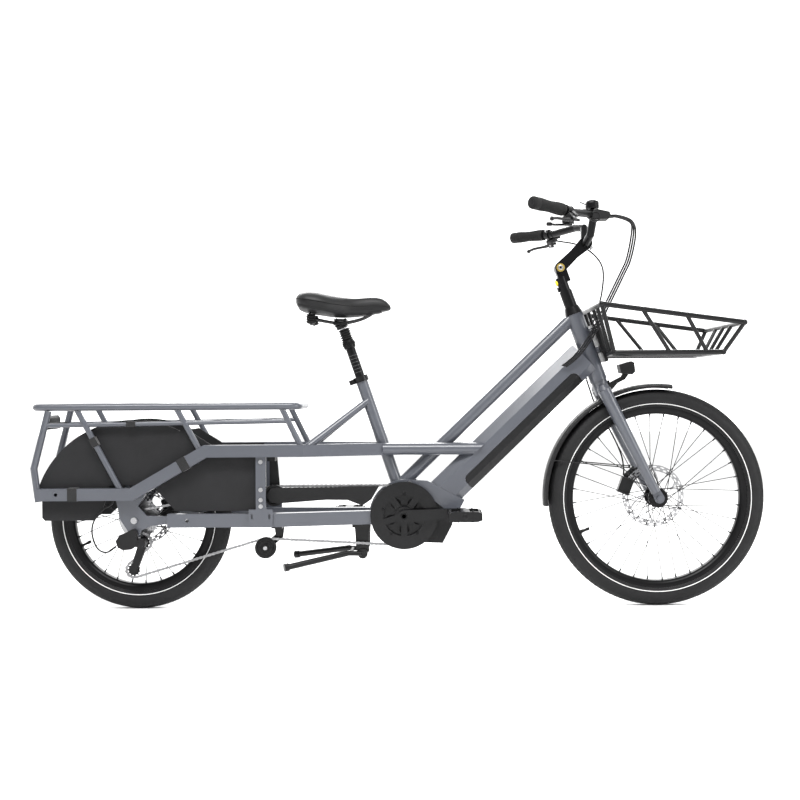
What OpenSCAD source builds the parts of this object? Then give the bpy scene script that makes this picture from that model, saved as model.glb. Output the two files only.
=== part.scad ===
// Long-tail cargo bicycle with a mid-mounted motor, a battery in the down tube,
// a welded load rack over the small rear wheel and a basket fixed to the head tube.
// Millimetres. +X is forward, +Y is the rider's left, +Z is up. The ground is z = 0.
// Points written [x, z] lie in the side view and count from the rear axle.

/* [Wheels] */
// Distance between the two axles
wheelbase = 1485; // [1440:1:1530]
// Outside diameter of the front tyre (24 x 2.25 inch)
front_tyre_d = 621; // [600:1:624]
// Outside diameter of the rear tyre (20 x 2.25 inch)
rear_tyre_d = 520; // [500:1:524]
// Width of both tyres
tyre_w = 57; // [45:1:60]
// Width of both rims
rim_w = 34; // [28:1:38]
// Spokes in the front wheel
front_spokes = 36; // [28:4:36]
// Spokes in the rear wheel
rear_spokes = 28; // [20:4:36]
// Diameter of one spoke
spoke_d = 2.2; // [1.8:0.1:3]
// Brake disc diameter on the front wheel
front_disc_d = 180; // [160:10:180]
// Brake disc diameter on the rear wheel
rear_disc_d = 160; // [140:10:160]

/* [Steering] */
// Angle of the steering axis back from vertical
head_tilt = 20; // [18:0.5:22]
// Distance of the front axle ahead of the steering axis
fork_rake = 38; // [34:1:42]
// Length from the front axle foot to the head tube, along the steering axis
fork_length = 371; // [370:1:382]
// Length of the head tube
head_length = 205; // [190:1:220]
// Outside diameter of the head tube
head_d = 50; // [48:1:54]
// Diameter of the fork's steerer
steerer_d = 28.6; // [25:0.1:30]
// Height of the stem pivot above the bottom of the head tube, along the axis
stem_pivot_h = 344; // [330:1:360]
// Half of the handlebar's overall width
bar_half = 322; // [310:1:345]
// Diameter of the handlebar
bar_d = 22.2; // [22:0.1:25.4]
// Diameter of the grips
grip_d = 34; // [30:1:36]

/* [Frame] */
// Slope of the down tube and the top tube
slope = 43.8; // [43:0.1:44.5]
// Height of the down tube's section
down_h = 95; // [90:1:100]
// Width of the down tube's section
down_w = 84; // [80:1:90]
// Wall of the down tube
down_wall = 3; // [2:0.5:4]
// Visible height of the battery along the lower side of the down tube
battery_face = 39; // [35:1:44]
// Length of the battery
battery_length = 440; // [400:5:450]
// Diameter of the top tube
top_d = 36; // [32:1:38]
// Outside diameter of the seat tube
seat_tube_d = 34; // [33:0.5:38]
// Angle of the seat tube back from vertical
seat_tilt = 18.7; // [18:0.1:20]
// Diameter of the seat post
post_d = 27.2; // [25:0.1:27.2]
// Height of the upper side rails above the ground
rail_z = 455; // [450:1:460]
// Height of the rear end of the upper side rails above the ground
rail_low_z = 336; // [330:1:342]
// Width of the upper side rails' section
rail_w = 25; // [20:1:28]
// Height of the upper side rails' section
rail_h = 34; // [30:1:36]
// Height of the lower side rails above the ground
lower_z = 262; // [256:1:266]
// Height of the lower side rails' section
lower_h = 38; // [34:1:40]

/* [Rack] */
// Distance of the rack's side tubes from the middle
rack_half = 95; // [90:1:105]
// Distance of the rack's rear end behind the rear axle
rack_back = 285; // [270:1:300]
// Diameter of the rack's rim tube
rack_d = 20; // [18:1:24]
// Height of the rack's rim tube above the ground
rack_z = 580; // [570:1:590]

/* [Basket] */
// Half width of the basket at its top
basket_half = 205; // [190:1:220]
// Half width of the basket at its floor
basket_floor_half = 160; // [150:1:175]

/* [Drive] */
// Crank length
crank_length = 170; // [160:1:175]
// Radius of the chain round the chainring
ring_r = 85; // [80:1:88]
// Radius of the chain round the sprocket
sprocket_r = 24.5; // [22:0.5:28]
// Height of the chain's side plates
chain_h = 8; // [7:0.5:9]
// Width of the chain
chain_w = 7; // [6:0.5:8]
// Distance of the chain from the middle
chain_line = 52; // [50:0.5:53]

/* [Hidden] */
$fn = 48;
eps = 0.01;
gap = 0.3;     // between faces of different bodies
fit = 0.05;    // radial clearance of a running or sliding fit

paint = [0.27, 0.29, 0.33];
black = [0.05, 0.05, 0.055];
rubber = [0.03, 0.03, 0.03];
steel = [0.7, 0.7, 0.72];

// ---- places worked out from the driving sizes ----
front_r = front_tyre_d / 2;
rear_r = rear_tyre_d / 2;
mid_x = (wheelbase + front_r - rack_back) / 2;   // the origin lies under the middle of the length
rear_axle = [0, rear_r];
front_axle = [wheelbase, front_r];
head_low = front_axle + [-fork_rake * cos(head_tilt) - fork_length * sin(head_tilt),
                         -fork_rake * sin(head_tilt) + fork_length * cos(head_tilt)];
bb = [760, 268];                                  // crank axis
seat_foot = [743, 340];                           // foot of the seat tube's axis
seat_length = 333;
seat_axis = [-sin(seat_tilt), cos(seat_tilt)];
seat_top = seat_foot + seat_length * seat_axis;
tube_axis = [cos(slope), sin(slope)];             // along the down tube and the top tube
tube_up = [-sin(slope), cos(slope)];
down_foot = [867, 322];                          // lower end of the down tube's middle line
down_length = 568;
top_foot = [750, 351];
top_length = 694;
twin_y = (top_d + 34) / 2 + 0.8;                  // the twin middle tubes pass either side of the top tube
rail_y = rack_half;
rail_front_y = seat_tube_d / 2 + rail_w / 2 + 0.4;
lower_y = 80;
dropout_in = 67.5;
dropout_t = 8;
chain_y = -chain_line;

// ---- small tools ----
function v3(p, y) = [p[0], y, p[1]];
module place() { translate([-mid_x, 0, 0]) children(); }
module at(p, y = 0) { translate([p[0], y, p[1]]) children(); }
module rod(a, b, r, r2 = undef) {
    d = b - a;
    translate(a)
        rotate([0, acos(d[2] / norm(d)), atan2(d[1], d[0])])
            cylinder(r1 = r, r2 = is_undef(r2) ? r : r2, h = norm(d));
}
// A bent tube: straight lengths with a ball at each bend.
module bent_tube(points, r) {
    n = len(points);
    for (i = [0 : n - 2]) rod(points[i], points[i + 1], r);
    for (i = [1 : n - 2]) translate(points[i]) sphere(r = r + 0.3);
}
// A disc or a ring round an axis along Y, from y = y0 to y = y1.
module disc_y(p, r, y0, y1) {
    translate([p[0], y0, p[1]]) rotate([-90, 0, 0]) cylinder(r = r, h = y1 - y0);
}
module ring_y(p, r_out, r_in, y0, y1) {
    difference() {
        disc_y(p, r_out, y0, y1);
        disc_y(p, r_in, y0 - 1, y1 + 1);
    }
}
// A side-view outline of [x, z] points, given thickness from y0 to y1.
module plate(points, y0, y1) {
    translate([0, y1, 0]) rotate([90, 0, 0]) linear_extrude(height = y1 - y0) polygon(points);
}
module plate_shape(y0, y1) {
    translate([0, y1, 0]) rotate([90, 0, 0]) linear_extrude(height = y1 - y0) children();
}
module both_sides() {
    children();
    mirror([0, 1, 0]) children();
}
// A flat link with round ends, seen in the side view.
module link(p, q, r1, r2, y0, y1) {
    d = norm(q - p);
    a = acos((r1 - r2) / d);
    f = atan2(q[1] - p[1], q[0] - p[0]);
    disc_y(p, r1, y0, y1);
    disc_y(q, r2, y0, y1);
    plate([p + r1 * [cos(f + a), sin(f + a)], q + r2 * [cos(f + a), sin(f + a)],
           q + r2 * [cos(f - a), sin(f - a)], p + r1 * [cos(f - a), sin(f - a)]], y0, y1);
}
function unit(v) = v / norm(v);
function left_of(v) = [-v[1], v[0]];
// The points beside a path at distance d, mitred at its bends.
function beside(path, d) = [for (i = [0 : len(path) - 1])
    let (n = len(path),
         a = i == 0 ? unit(path[1] - path[0]) : unit(path[i] - path[i - 1]),
         b = i == n - 1 ? a : unit(path[i + 1] - path[i]),
         m = unit(left_of(a) + left_of(b)))
    path[i] + m * d / (m * left_of(a))];
function reversed(list) = [for (i = [len(list) - 1 : -1 : 0]) list[i]];
// The outline of a band of height 2 * half along a path.
function band(path, half) = concat(beside(path, half), reversed(beside(path, -half)));
// A belt round circles [[x, z], radius, turn], turn 1 with the circle on the left, -1 on the right.
function belt_angle(a, b) =
    let (d = b[0] - a[0])
    atan2(d[1], d[0]) + asin((a[2] * a[1] - b[2] * b[1]) / norm(d));
function belt(c, step = 10) = [for (i = [0 : len(c) - 1])
    let (n = len(c),
         into = belt_angle(c[(i + n - 1) % n], c[i]),
         out = belt_angle(c[i], c[(i + 1) % n]),
         s = c[i][2],
         raw = (out - into) * s,
         turn = raw - 360 * floor(raw / 360),
         k = max(1, ceil(turn / step)))
    for (j = [0 : k])
        let (a = into + s * turn * j / k)
        c[i][0] + s * c[i][1] * [sin(a), -cos(a)]];
// A tube swept through points given by hand, with flat ends.
function sweep_dir(p, i) =
    i == 0 ? unit(p[1] - p[0])
    : i == len(p) - 1 ? unit(p[i] - p[i - 1])
    : unit(unit(p[i] - p[i - 1]) + unit(p[i + 1] - p[i]));
module cable(p, r, sides = 8) {
    n = len(p);
    rings = [for (i = [0 : n - 1])
        let (t = sweep_dir(p, i),
             side = unit(cross(t, [0.31, 0.11, 0.17])),
             up = cross(t, side))
        for (k = [0 : sides - 1])
            p[i] + r * (side * cos(360 * k / sides) + up * sin(360 * k / sides))];
    skin = [for (i = [0 : n - 2]) for (k = [0 : sides - 1])
        let (a = i * sides + k, b = i * sides + (k + 1) % sides)
        [a, a + sides, b + sides, b]];
    ends = [[for (k = [0 : sides - 1]) k],
            [for (k = [sides - 1 : -1 : 0]) (n - 1) * sides + k]];
    polyhedron(points = rings, faces = concat(skin, ends), convexity = 4);
}
// A smooth curve through points (Catmull-Rom), for cable routes.
function curve(p, k = 4) = concat([for (i = [0 : len(p) - 2]) for (j = [0 : k - 1])
    let (t = j / k,
         a = p[max(i - 1, 0)], b = p[i], c = p[i + 1], d = p[min(i + 2, len(p) - 1)])
    0.5 * (2 * b + (c - a) * t + (2 * a - 5 * b + 4 * c - d) * t * t
           + (3 * b - 3 * c + d - a) * t * t * t)], [p[len(p) - 1]]);

// ---- frames of reference ----
// Steering: origin at the bottom of the head tube, z up the steering axis, x ahead of it.
module steering() { translate(v3(head_low, 0)) rotate([0, -head_tilt, 0]) children(); }
// Seat tube: origin at its foot, z up its axis.
module seating() { translate(v3(seat_foot, 0)) rotate([0, -seat_tilt, 0]) children(); }
// Down tube: origin at its lower end, x up along it, z square to it.
module sloping(foot) { translate(v3(foot, 0)) rotate([0, -slope, 0]) children(); }

// ================= frame =================
head_bore = 44;
bearing_h = 10;
basket_boss_z = [84, 142];
module head_solid(grow = 0) {
    steering() translate([0, 0, -grow]) cylinder(d = head_d + 2 * grow, h = head_length + 2 * grow);
}
module head_tube() {
    color(paint) difference() {
        union() {
            head_solid();
            // bosses that carry the basket
            steering() for (z = basket_boss_z) translate([0, 0, z]) rotate([0, 90, 0])
                cylinder(d = 20, h = head_d / 2 + 6);
        }
        steering() translate([0, 0, -1]) cylinder(d = head_bore, h = head_length + 2);
        steering() for (z = basket_boss_z) translate([0, 0, z]) rotate([0, 90, 0])
            cylinder(d = 6, h = head_d);
    }
    color(steel) steering() for (z = [0.5, head_length - bearing_h - 0.5]) translate([0, 0, z])
        difference() {
            cylinder(d = head_bore - 2 * fit, h = bearing_h);
            translate([0, 0, -1]) cylinder(d = steerer_d + 2 * fit, h = bearing_h + 2);
        }
}

battery_x0 = 77;
battery_core_w = 68;
battery_core_h = 66;
// Section of the down tube and the battery, drawn across the tube: wide sides and sloping corners.
module down_section(grow = 0) {
    h = down_h / 2 + grow;
    w = down_w / 2 + grow;
    polygon([[-h, -w + 16], [-h + 20, -w], [h - 26, -w], [h, -w + 18],
             [h, w - 18], [h - 26, w], [-h + 20, w], [-h, w - 16]]);
}
module down_box(grow = 0, lengthen = 0) {
    sloping(down_foot) translate([-lengthen, 0, 0]) rotate([0, 90, 0]) rotate([0, 0, 180])
        linear_extrude(height = down_length + 2 * lengthen) down_section(grow);
}
// The battery's side outline, along the tube; its upper corners are round.
battery_corner = 16;
module battery_side(grow) {
    top = -down_h / 2 + battery_face + grow;
    a = battery_x0 - grow;
    b = battery_x0 + battery_length + grow;
    r = battery_corner + grow;
    square_low = -down_h / 2 - 30;
    translate([a, square_low]) square([b - a, top - r - square_low]);
    translate([a + r, square_low]) square([b - a - 2 * r, top - square_low]);
    for (x = [a + r, b - r]) translate([x, top - r]) circle(r = r);
}
module battery_cover(grow) {
    sloping(down_foot) translate([0, 100, 0]) rotate([90, 0, 0])
        linear_extrude(height = 200) battery_side(grow);
}
module battery_core(grow) {
    sloping(down_foot)
        translate([battery_x0 + 20 - grow, -battery_core_w / 2 - grow, -down_h / 2 + 10])
            cube([battery_length - 40 + 2 * grow, battery_core_w + 2 * grow, battery_core_h + grow - 10]);
}
module down_tube() {
    color(paint) difference() {
        down_box();
        battery_cover(0.8);
        battery_core(1);
        head_solid(0.2);
        steering() translate([0, -100, -200]) cube([400, 200, 600]);
        cradle_cut();
        sloping(down_foot) translate([40, -20, -15]) cube([30, 40, 30]);
    }
}
module top_solid(grow = 0) {
    sloping(top_foot) translate([grow > 0 ? -60 : 0, 0, 0]) rotate([0, 90, 0])
        cylinder(d = top_d + 2 * grow, h = top_length + (grow > 0 ? 60 : 0));
}
module top_tube() {
    color(paint) difference() {
        top_solid();
        head_solid(0.2);
        steering() translate([0, 0, head_length - 1]) cylinder(d = head_d + 14, h = 80);
        steering() translate([0, -100, -200]) cube([400, 200, 600]);
        seat_solid(0.2);
        cradle_cut();
    }
}
module seat_solid(grow = 0) {
    seating() translate([0, 0, grow > 0 ? -80 : 0])
        cylinder(d = seat_tube_d + 2 * grow, h = seat_length + (grow > 0 ? 80 : 0));
}
module seat_tube() {
    color(paint) difference() {
        seat_solid();
        seating() translate([0, 0, 60]) cylinder(d = post_d + 2 * fit, h = seat_length);
        cradle_cut();
    }
}
twin_d = 34;
brace_d = 20;
brace_top = seat_foot + 268 * seat_axis;
brace_foot = [492, rail_z + rail_h / 2];
module frame_braces() {
    color(paint) {
        // twin tubes either side of the top tube
        difference() {
            both_sides() rod([700, twin_y, rail_z], [1010, twin_y, rail_z], twin_d / 2);
            down_box(0.2, 60);
            sloping(down_foot) translate([-60, -100, -200]) cube([700, 200, 174 + down_h / 2]);
            seat_solid(0.2);
            rail_pair(0.3);
        }
        // twin stays from the seat tube to the rails
        difference() {
            both_sides() rod(v3(brace_top, 8), [brace_foot[0], rail_y - 3, brace_foot[1] - 6], brace_d / 2);
            seat_solid(0.2);
            rail_pair(0.2);
            translate([0, -0.3, 0]) cube([900, 0.6, 900]);
        }
    }
}

motor_r = 84;
cradle_r = 100;
// The cradle goes from the lower rails round the top of the motor to the foot of the down tube.
cradle_arc = [for (a = [170 : -8 : 90]) bb + cradle_r * [cos(a), sin(a)]];
cradle_tip = [[826, 364.7], [932, 308.7], [907, 262.5]];
motor_front = [[818, 189], [869, 187], [896, 238], [900, 262]];
function motor_arc(r, from, to) = [for (k = [0 : 16])
    let (a = from + (to - from) * k / 16) bb + r * [cos(a), sin(a)]];
module cradle_cut() {
    plate(concat([[500, 285.5]], [for (p = cradle_arc) p + 0.3 * unit(p - bb)],
                 [cradle_tip[0] + [0.1, 0.3], cradle_tip[1] + [0.4, 0.2], [940, 100], [500, 100]]), -60, 60);
}
rail_path = [[-rack_back + 18, rail_low_z], [0, rail_low_z], [206, rail_z], [705, rail_z]];
rail_flare = 480;            // the rails start to draw together ahead of this point
module rail_pair(grow = 0) {
    both_sides() intersection() {
        plate(band(rail_path, rail_h / 2 + grow), 0, 200);
        translate([0, 0, 0]) linear_extrude(height = 900)
            polygon(concat(
                beside([[-400, rail_y], [rail_flare, rail_y], [705, rail_front_y], [720, rail_front_y]],
                       rail_w / 2 + grow),
                reversed(beside([[-400, rail_y], [rail_flare, rail_y], [705, rail_front_y],
                                 [720, rail_front_y]], -rail_w / 2 - grow))));
    }
}
rail_hole = [-211, rail_low_z];
module side_rails() {
    color(paint) difference() {
        rail_pair();
        both_sides() disc_y(rail_hole, 5, 0, 200);
        upright_rear_solid(0.2);
    }
}
lower_path = [[96, lower_z - 2], [400, lower_z - 2], [690, lower_z]];
lower_plan = [[96, lower_y], [400, lower_y], [640, 45], [690, 40]];
lower_hole = [152, lower_z - 2];
module lower_pair(grow = 0) {
    both_sides() intersection() {
        plate(band(lower_path, lower_h / 2 + grow), 0, 200);
        linear_extrude(height = 900) polygon(band(lower_plan, 12.5 + grow));
    }
}
module lower_rails() {
    color(paint) difference() {
        lower_pair();
        both_sides() disc_y(lower_hole, 5, 0, 200);
        disc_y(bb, motor_r + 0.3, -100, 100);
    }
}
// Plates from the upper rail to the lower rail, which hold the rear axle.
dropout_outline = [[-46, 351], [-52, 318], [-40, 262], [-20, 232], [-12, 214], [12, 214], [20, 232],
                   [46, 244], [95.5, 250], [95.5, 271], [34, 273], [10, 300], [30, 330], [30, 351]];
module frame_plates() {
    color(paint) {
        difference() {
            both_sides() {
                plate(dropout_outline, dropout_in, dropout_in + dropout_t);
                plate([[-42, 324], [2, 324], [38, 344], [30, 351], [-42, 351]], dropout_in,
                      rail_y - rail_w / 2 - 0.3);
            }
            disc_y(rear_axle, 5 + fit, -100, 100);
            disc_y(hanger_bolt, 4 + fit, -100, 0);
        }
        // saddle over the motor
        difference() {
            plate(concat(cradle_arc, cradle_tip, [motor_front[3] + [0.3, 0.5]],
                         motor_arc(motor_r + 0.4, 50, 170)), -42, 42);
            lower_pair(0.2);
        }
    }
}

// ================= rack =================
rack_front = 466;
rack_corner = 26;
rack_rear_x = -rack_back + rack_d / 2;
slat_x = [-210, -70, 70, 210, 350];
slat_w = 26;
slat_t = 5;
module rack_deck() {
    r = rack_corner;
    color(paint) {
        both_sides() rod([rack_rear_x + r, rack_half, rack_z], [rack_front - r, rack_half, rack_z], rack_d / 2);
        for (x = [rack_rear_x, rack_front])
            rod([x, -rack_half + r, rack_z], [x, rack_half - r, rack_z], rack_d / 2);
        both_sides() {
            translate([rack_front - r, rack_half - r, rack_z])
                rotate_extrude(angle = 90) translate([r, 0]) circle(d = rack_d);
            translate([rack_rear_x + r, rack_half - r, rack_z]) rotate([0, 0, 90])
                rotate_extrude(angle = 90) translate([r, 0]) circle(d = rack_d);
        }
        for (x = slat_x) translate([x, -rack_half, rack_z + rack_d / 2 - slat_t])
            cube([slat_w, 2 * rack_half, slat_t]);
    }
}
stay_d = 16;
stay_top = rack_z - rack_d / 2 - 0.2;
stays = [[[-154, stay_top + 4], [-32, rail_low_z + rail_h / 2 - 8]],
         [[126, stay_top + 4], [186, rail_z + rail_h / 2 - 8]],
         [[420, stay_top + 4], [474, rail_z + rail_h / 2 - 8]]];
upright_path = [[-234, stay_top], [-rack_back + 10, 409], [-rack_back + 22, 316]];
side_bar_z = [529, 538];
module upright_rear_solid(grow = 0) {
    both_sides() bent_tube([for (p = upright_path) v3(p, rail_y)], 9.5 + grow);
}
module rack_stays() {
    color(paint) both_sides() difference() {
        union() {
            for (s = stays) rod(v3(s[0], rail_y), v3(s[1], rail_y), stay_d / 2);
            bent_tube([for (p = upright_path) v3(p, rail_y)], 9.5);
            rod([-240, rail_y, side_bar_z[0]], [440, rail_y, side_bar_z[1]], 6);
        }
        rail_pair(0.2);
        translate([-400, 0, stay_top]) cube([1000, 200, 50]);
    }
}

// ================= posts for footboards =================
post_x = 360;
post_slots = [[335, 271], [384, 271]];
post_bolt_z = [424, 346, 318, 300];
module footboard_posts() {
    y0 = lower_y + 12.8;
    color(paint) both_sides() difference() {
        union() {
            plate([[post_x - 14, rail_z - rail_h / 2 - 0.3], [post_x + 14, rail_z - rail_h / 2 - 0.3],
                   [post_x + 14, 285], [post_x - 14, 285]], y0, y0 + 6);
            plate([[post_x - 34, 241], [post_x + 33, 241], [post_x + 33, 291], [post_x - 34, 291]],
                  y0, y0 + 6);
        }
        // slots for a footboard's bolts
        for (s = post_slots) {
            disc_y(s + [0, 4], 3, y0 - 1, y0 + 8);
            disc_y(s - [0, 4], 3, y0 - 1, y0 + 8);
            plate([s + [-3, -4], s + [3, -4], s + [3, 4], s + [-3, 4]], y0 - 1, y0 + 8);
        }
        for (z = post_bolt_z) disc_y([post_x, z], 3.5, y0 - 1, y0 + 8);
    }
}

// ================= wheel skirts =================
skirt_r = 284;
skirt_y = rail_y - rail_w / 2 - 1.8;
module skirt_outline() {
    difference() {
        union() {
            intersection() {
                translate(rear_axle) circle(r = skirt_r);
                polygon([[-300, 338], [300, 338], [300, 600], [-300, 600]]);
            }
            polygon([[-258, 345], [-258, 270], [-250, 261], [-112, 261], [-92, 280], [-70, 345]]);
            polygon([[30, 338], [60, 346], [118, 286], [344, 286], [344, 470], [222, 470],
                     [150, 515], [60, 500]]);
        }
        polygon([[-70, 200], [-70, 360], [42, 360], [62, 348], [118, 285.5], [118, 200]]);
    }
}
module wheel_skirts() {
    color(black) both_sides() plate_shape(skirt_y - 3, skirt_y) skirt_outline();
}
// Hook-and-loop straps round the tubes that carry the skirts.
strap_t = 1.2;
module strap(p, q, half, deep) {
    // a band round a tube that runs from p towards q in the side view
    d = unit(q - p);
    at(p, rail_y) rotate([0, -atan2(d[1], d[0]), 0]) difference() {
        translate([-13, -deep - strap_t, -half - strap_t])
            cube([26, 2 * deep + 2 * strap_t, 2 * half + 2 * strap_t]);
        translate([-14, -deep, -half]) cube([28, 2 * deep, 2 * half]);
    }
}
module skirt_straps() {
    color(rubber) both_sides() {
        strap([-165, rail_low_z], [0, rail_low_z], rail_h / 2 + 0.3, rail_w / 2 + 0.3);
        strap([145, 420], [206, rail_z], rail_h / 2 + 0.3, rail_w / 2 + 0.3);
        strap(stays[0][0] * 0.6 + stays[0][1] * 0.4, stays[0][1], stay_d / 2 + 0.3, stay_d / 2 + 0.3);
        strap([-2, 532.2], [440, 538], 6.4, 6.4);
    }
}
module rear_light() {
    color("darkred") plate([[-268, 556], [-252, 558], [-245, 548], [-245, 518], [-262, 514]], -44, 44);
    color(black) translate([-244.7, -85.2, 524]) cube([4, 170.4, 12]);
}

// ================= motor, chain and guard =================
module motor() {
    color(black) difference() {
        union() {
            plate(concat(motor_arc(motor_r, 50, 258), motor_front), -44, 42);
            disc_y(bb, 60, -45.5, 50);
        }
        disc_y(bb, 10 + fit, -100, 100);
    }
}

roller_up = [392, 326];
roller_low = [366, 178];
roller_r = 30;
groove_r = 22;
jockey_up = [20, 196];
jockey_low = [-8, 118];
jockey_r = 18;
// Chain circles in the order the chain runs: chainring, upper roller, sprocket, two pulleys, lower roller.
function chain_circles(out) = [
    [bb, ring_r + out, 1],
    [roller_up, groove_r + chain_h / 2 + gap + out, 1],
    [rear_axle, sprocket_r + out, 1],
    [jockey_up, jockey_r + chain_h / 2 + gap - out, -1],
    [jockey_low, jockey_r + chain_h / 2 + gap + out, 1],
    [roller_low, groove_r + chain_h / 2 + gap - out, -1]];
module chain() {
    color(steel) plate_shape(chain_y - chain_w / 2, chain_y + chain_w / 2) difference() {
        polygon(belt(chain_circles(chain_h / 2)));
        polygon(belt(chain_circles(-chain_h / 2)));
    }
}
module roller(p) {
    difference() {
        union() {
            for (s = [-1, 1]) disc_y(p, roller_r, chain_y + s * 6 - 2, chain_y + s * 6 + 2);
            disc_y(p, groove_r, chain_y - 5, chain_y + 5);
        }
        disc_y(p, 4 + fit, -100, 100);
    }
}
module chain_roller_upper() { color(rubber) roller(roller_up); }
module chain_roller_lower() { color(rubber) roller(roller_low); }
guard_y = chain_y - 12;
module chain_guard() {
    x = roller_up[0];
    z = roller_up[1];
    color(black) {
        plate([[x - 20, z + 2], [x - 12, z - 18], [x + 8, z - 22], [540, 314], [600, 313], [642, 297],
               [668, 315], [690, 352], [560, 350], [x + 12, 349], [x - 8, z + 22]], guard_y - 2, guard_y);
        // the roller's pin runs from the guard to a bracket under the upper rail
        disc_y(roller_up, 4, guard_y - eps, chain_y + 14 + eps);
        plate([[x - 16, z - 12], [x + 14, z - 12], [x + 14, z + 16], [x + 6, 437.7], [x - 16, 437.7]],
              chain_y + 14, chain_y + 18);
        plate([[x - 16, 425], [x + 6, 425], [x + 6, 437.7], [x - 16, 437.7]],
              -rail_y + rail_w / 2 + 0.3, chain_y + 14.01);
    }
}
module kickstand_mount() {
    low = lower_z - lower_h / 2;
    color(black) {
        // cross plate clamped under the lower rails, with two cheeks for the stand
        translate([612, -58, low - 8.8]) cube([52, 116, 8]);
        both_sides() plate([[618, low - 7], [660, low - 7], [658, 172], [648, 146], [632, 146],
                            [622, 172]], 32, 38);
        disc_y(stand_pivot, 6, -46.5, 46.5);
    }
    // bracket and pin of the lower chain roller
    color(black) {
        plate([[388, low - 2.3], [418, low - 2.3], [414, 206], [372, 170], [358, 170], [358, 186],
               [392, 214]], chain_y + 14, chain_y + 18);
        disc_y(roller_low, 4, chain_y - 10, chain_y + 14.01);
        disc_y(roller_low, 8, chain_y - 10.5, chain_y - 8.6);
        translate([388, -lower_y - 10, low - 6.3]) cube([30, lower_y + 10 + chain_y + 18, 4]);
    }
}

// ================= derailleur =================
hanger_bolt = [0, 226];
cage_y = [chain_y - 6.8, chain_y + 4.8];
cage_t = 2;
module derailleur_body() {
    out = -dropout_in - dropout_t;
    color(black) difference() {
        union() {
            // knuckle outside the hanger, with its bolt
            disc_y(hanger_bolt, 11, out - 14, out - 0.3);
            disc_y(hanger_bolt, 4, out - 14, -dropout_in + 3);
            // links and motor-side knuckle behind
            plate([[-8, 234], [-40, 218], [-50, 204], [-44, 186], [-30, 178], [-6, 180], [10, 190],
                   [12, 222]], out - 13, out - 4);
            // knuckle of the cage
            disc_y(jockey_up, 14, out - 12, cage_y[0] - 0.5);
            plate([[-30, 206], [14, 206], [14, 186], [-30, 184]], out - 5, -dropout_in + 1);
        }
        disc_y(jockey_up, 4 + fit, -77, 0);
    }
}
module derailleur_cage() {
    color(black) {
        for (y = cage_y) link(jockey_up, jockey_low, 12, 10, y, y + cage_t);
        for (p = [jockey_up, jockey_low]) disc_y(p, 3, cage_y[0], cage_y[1] + cage_t);
        disc_y(jockey_up, 4, -76, cage_y[0] + eps);
    }
}
module jockey_wheel(p) {
    color(black) difference() {
        union() {
            disc_y(p, jockey_r, chain_y - 1.2, chain_y + 1.2);
            disc_y(p, 6.5, cage_y[0] + cage_t + 0.3, cage_y[1] - 0.3);
        }
        disc_y(p, 3 + fit, chain_y - 20, chain_y + 20);
    }
}
module jockey_wheel_upper() { jockey_wheel(jockey_up); }
module jockey_wheel_lower() { jockey_wheel(jockey_low); }

// ================= wheels =================
rim_depth = 14;
tyre_wall = 5;
// Bead seat radii of the two rim sizes.
function bead_r(tyre_d) = tyre_d / 2 - tyre_w;
module tyre(c, tyre_d, cut = 0) {
    rb = bead_r(tyre_d);
    rc = tyre_d / 2 - tyre_w / 2;
    translate(v3(c, 0)) rotate([-90, 0, 0]) rotate_extrude($fn = 96) difference() {
        translate([rc, 0]) circle(d = tyre_w);
        translate([rc, 0]) circle(d = tyre_w - 2 * tyre_wall);
        translate([rb - 12, -rim_w / 2 - 0.3]) square([20, rim_w + 0.6]);
    }
}
module rim(c, tyre_d) {
    rb = bead_r(tyre_d);
    translate(v3(c, 0)) rotate([-90, 0, 0]) rotate_extrude($fn = 96)
        polygon([[rb + 7, -rim_w / 2], [rb + 7, -rim_w / 2 + 2], [rb - 2, -rim_w / 2 + 3],
                 [rb - 5, -8], [rb - 5, 8], [rb - 2, rim_w / 2 - 3], [rb + 7, rim_w / 2 - 2],
                 [rb + 7, rim_w / 2], [rb - 8, rim_w / 2], [rb - rim_depth, 9],
                 [rb - rim_depth, -9], [rb - 8, -rim_w / 2]]);
}
module front_tyre() { color(rubber) tyre(front_axle, front_tyre_d); }
module rear_tyre() { color(rubber) tyre(rear_axle, rear_tyre_d); }
module front_rim() {
    color(black) difference() {
        rim(front_axle, front_tyre_d);
        valve_hole(front_axle, front_tyre_d);
    }
    color(steel) valve(front_axle, front_tyre_d);
}
module rear_rim() {
    color(black) difference() {
        rim(rear_axle, rear_tyre_d);
        valve_hole(rear_axle, rear_tyre_d);
    }
    color(steel) valve(rear_axle, rear_tyre_d);
}
valve_angle = 205;
module valve_axis(c, tyre_d) {
    translate(v3(c, 0)) rotate([0, -valve_angle, 0])
        translate([bead_r(tyre_d) - rim_depth - 24, 0, 0]) rotate([0, 90, 0]) children();
}
module valve_hole(c, tyre_d) { valve_axis(c, tyre_d) cylinder(d = 8.6, h = 60); }
module valve(c, tyre_d) { valve_axis(c, tyre_d) cylinder(d = 8, h = 36); }

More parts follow.
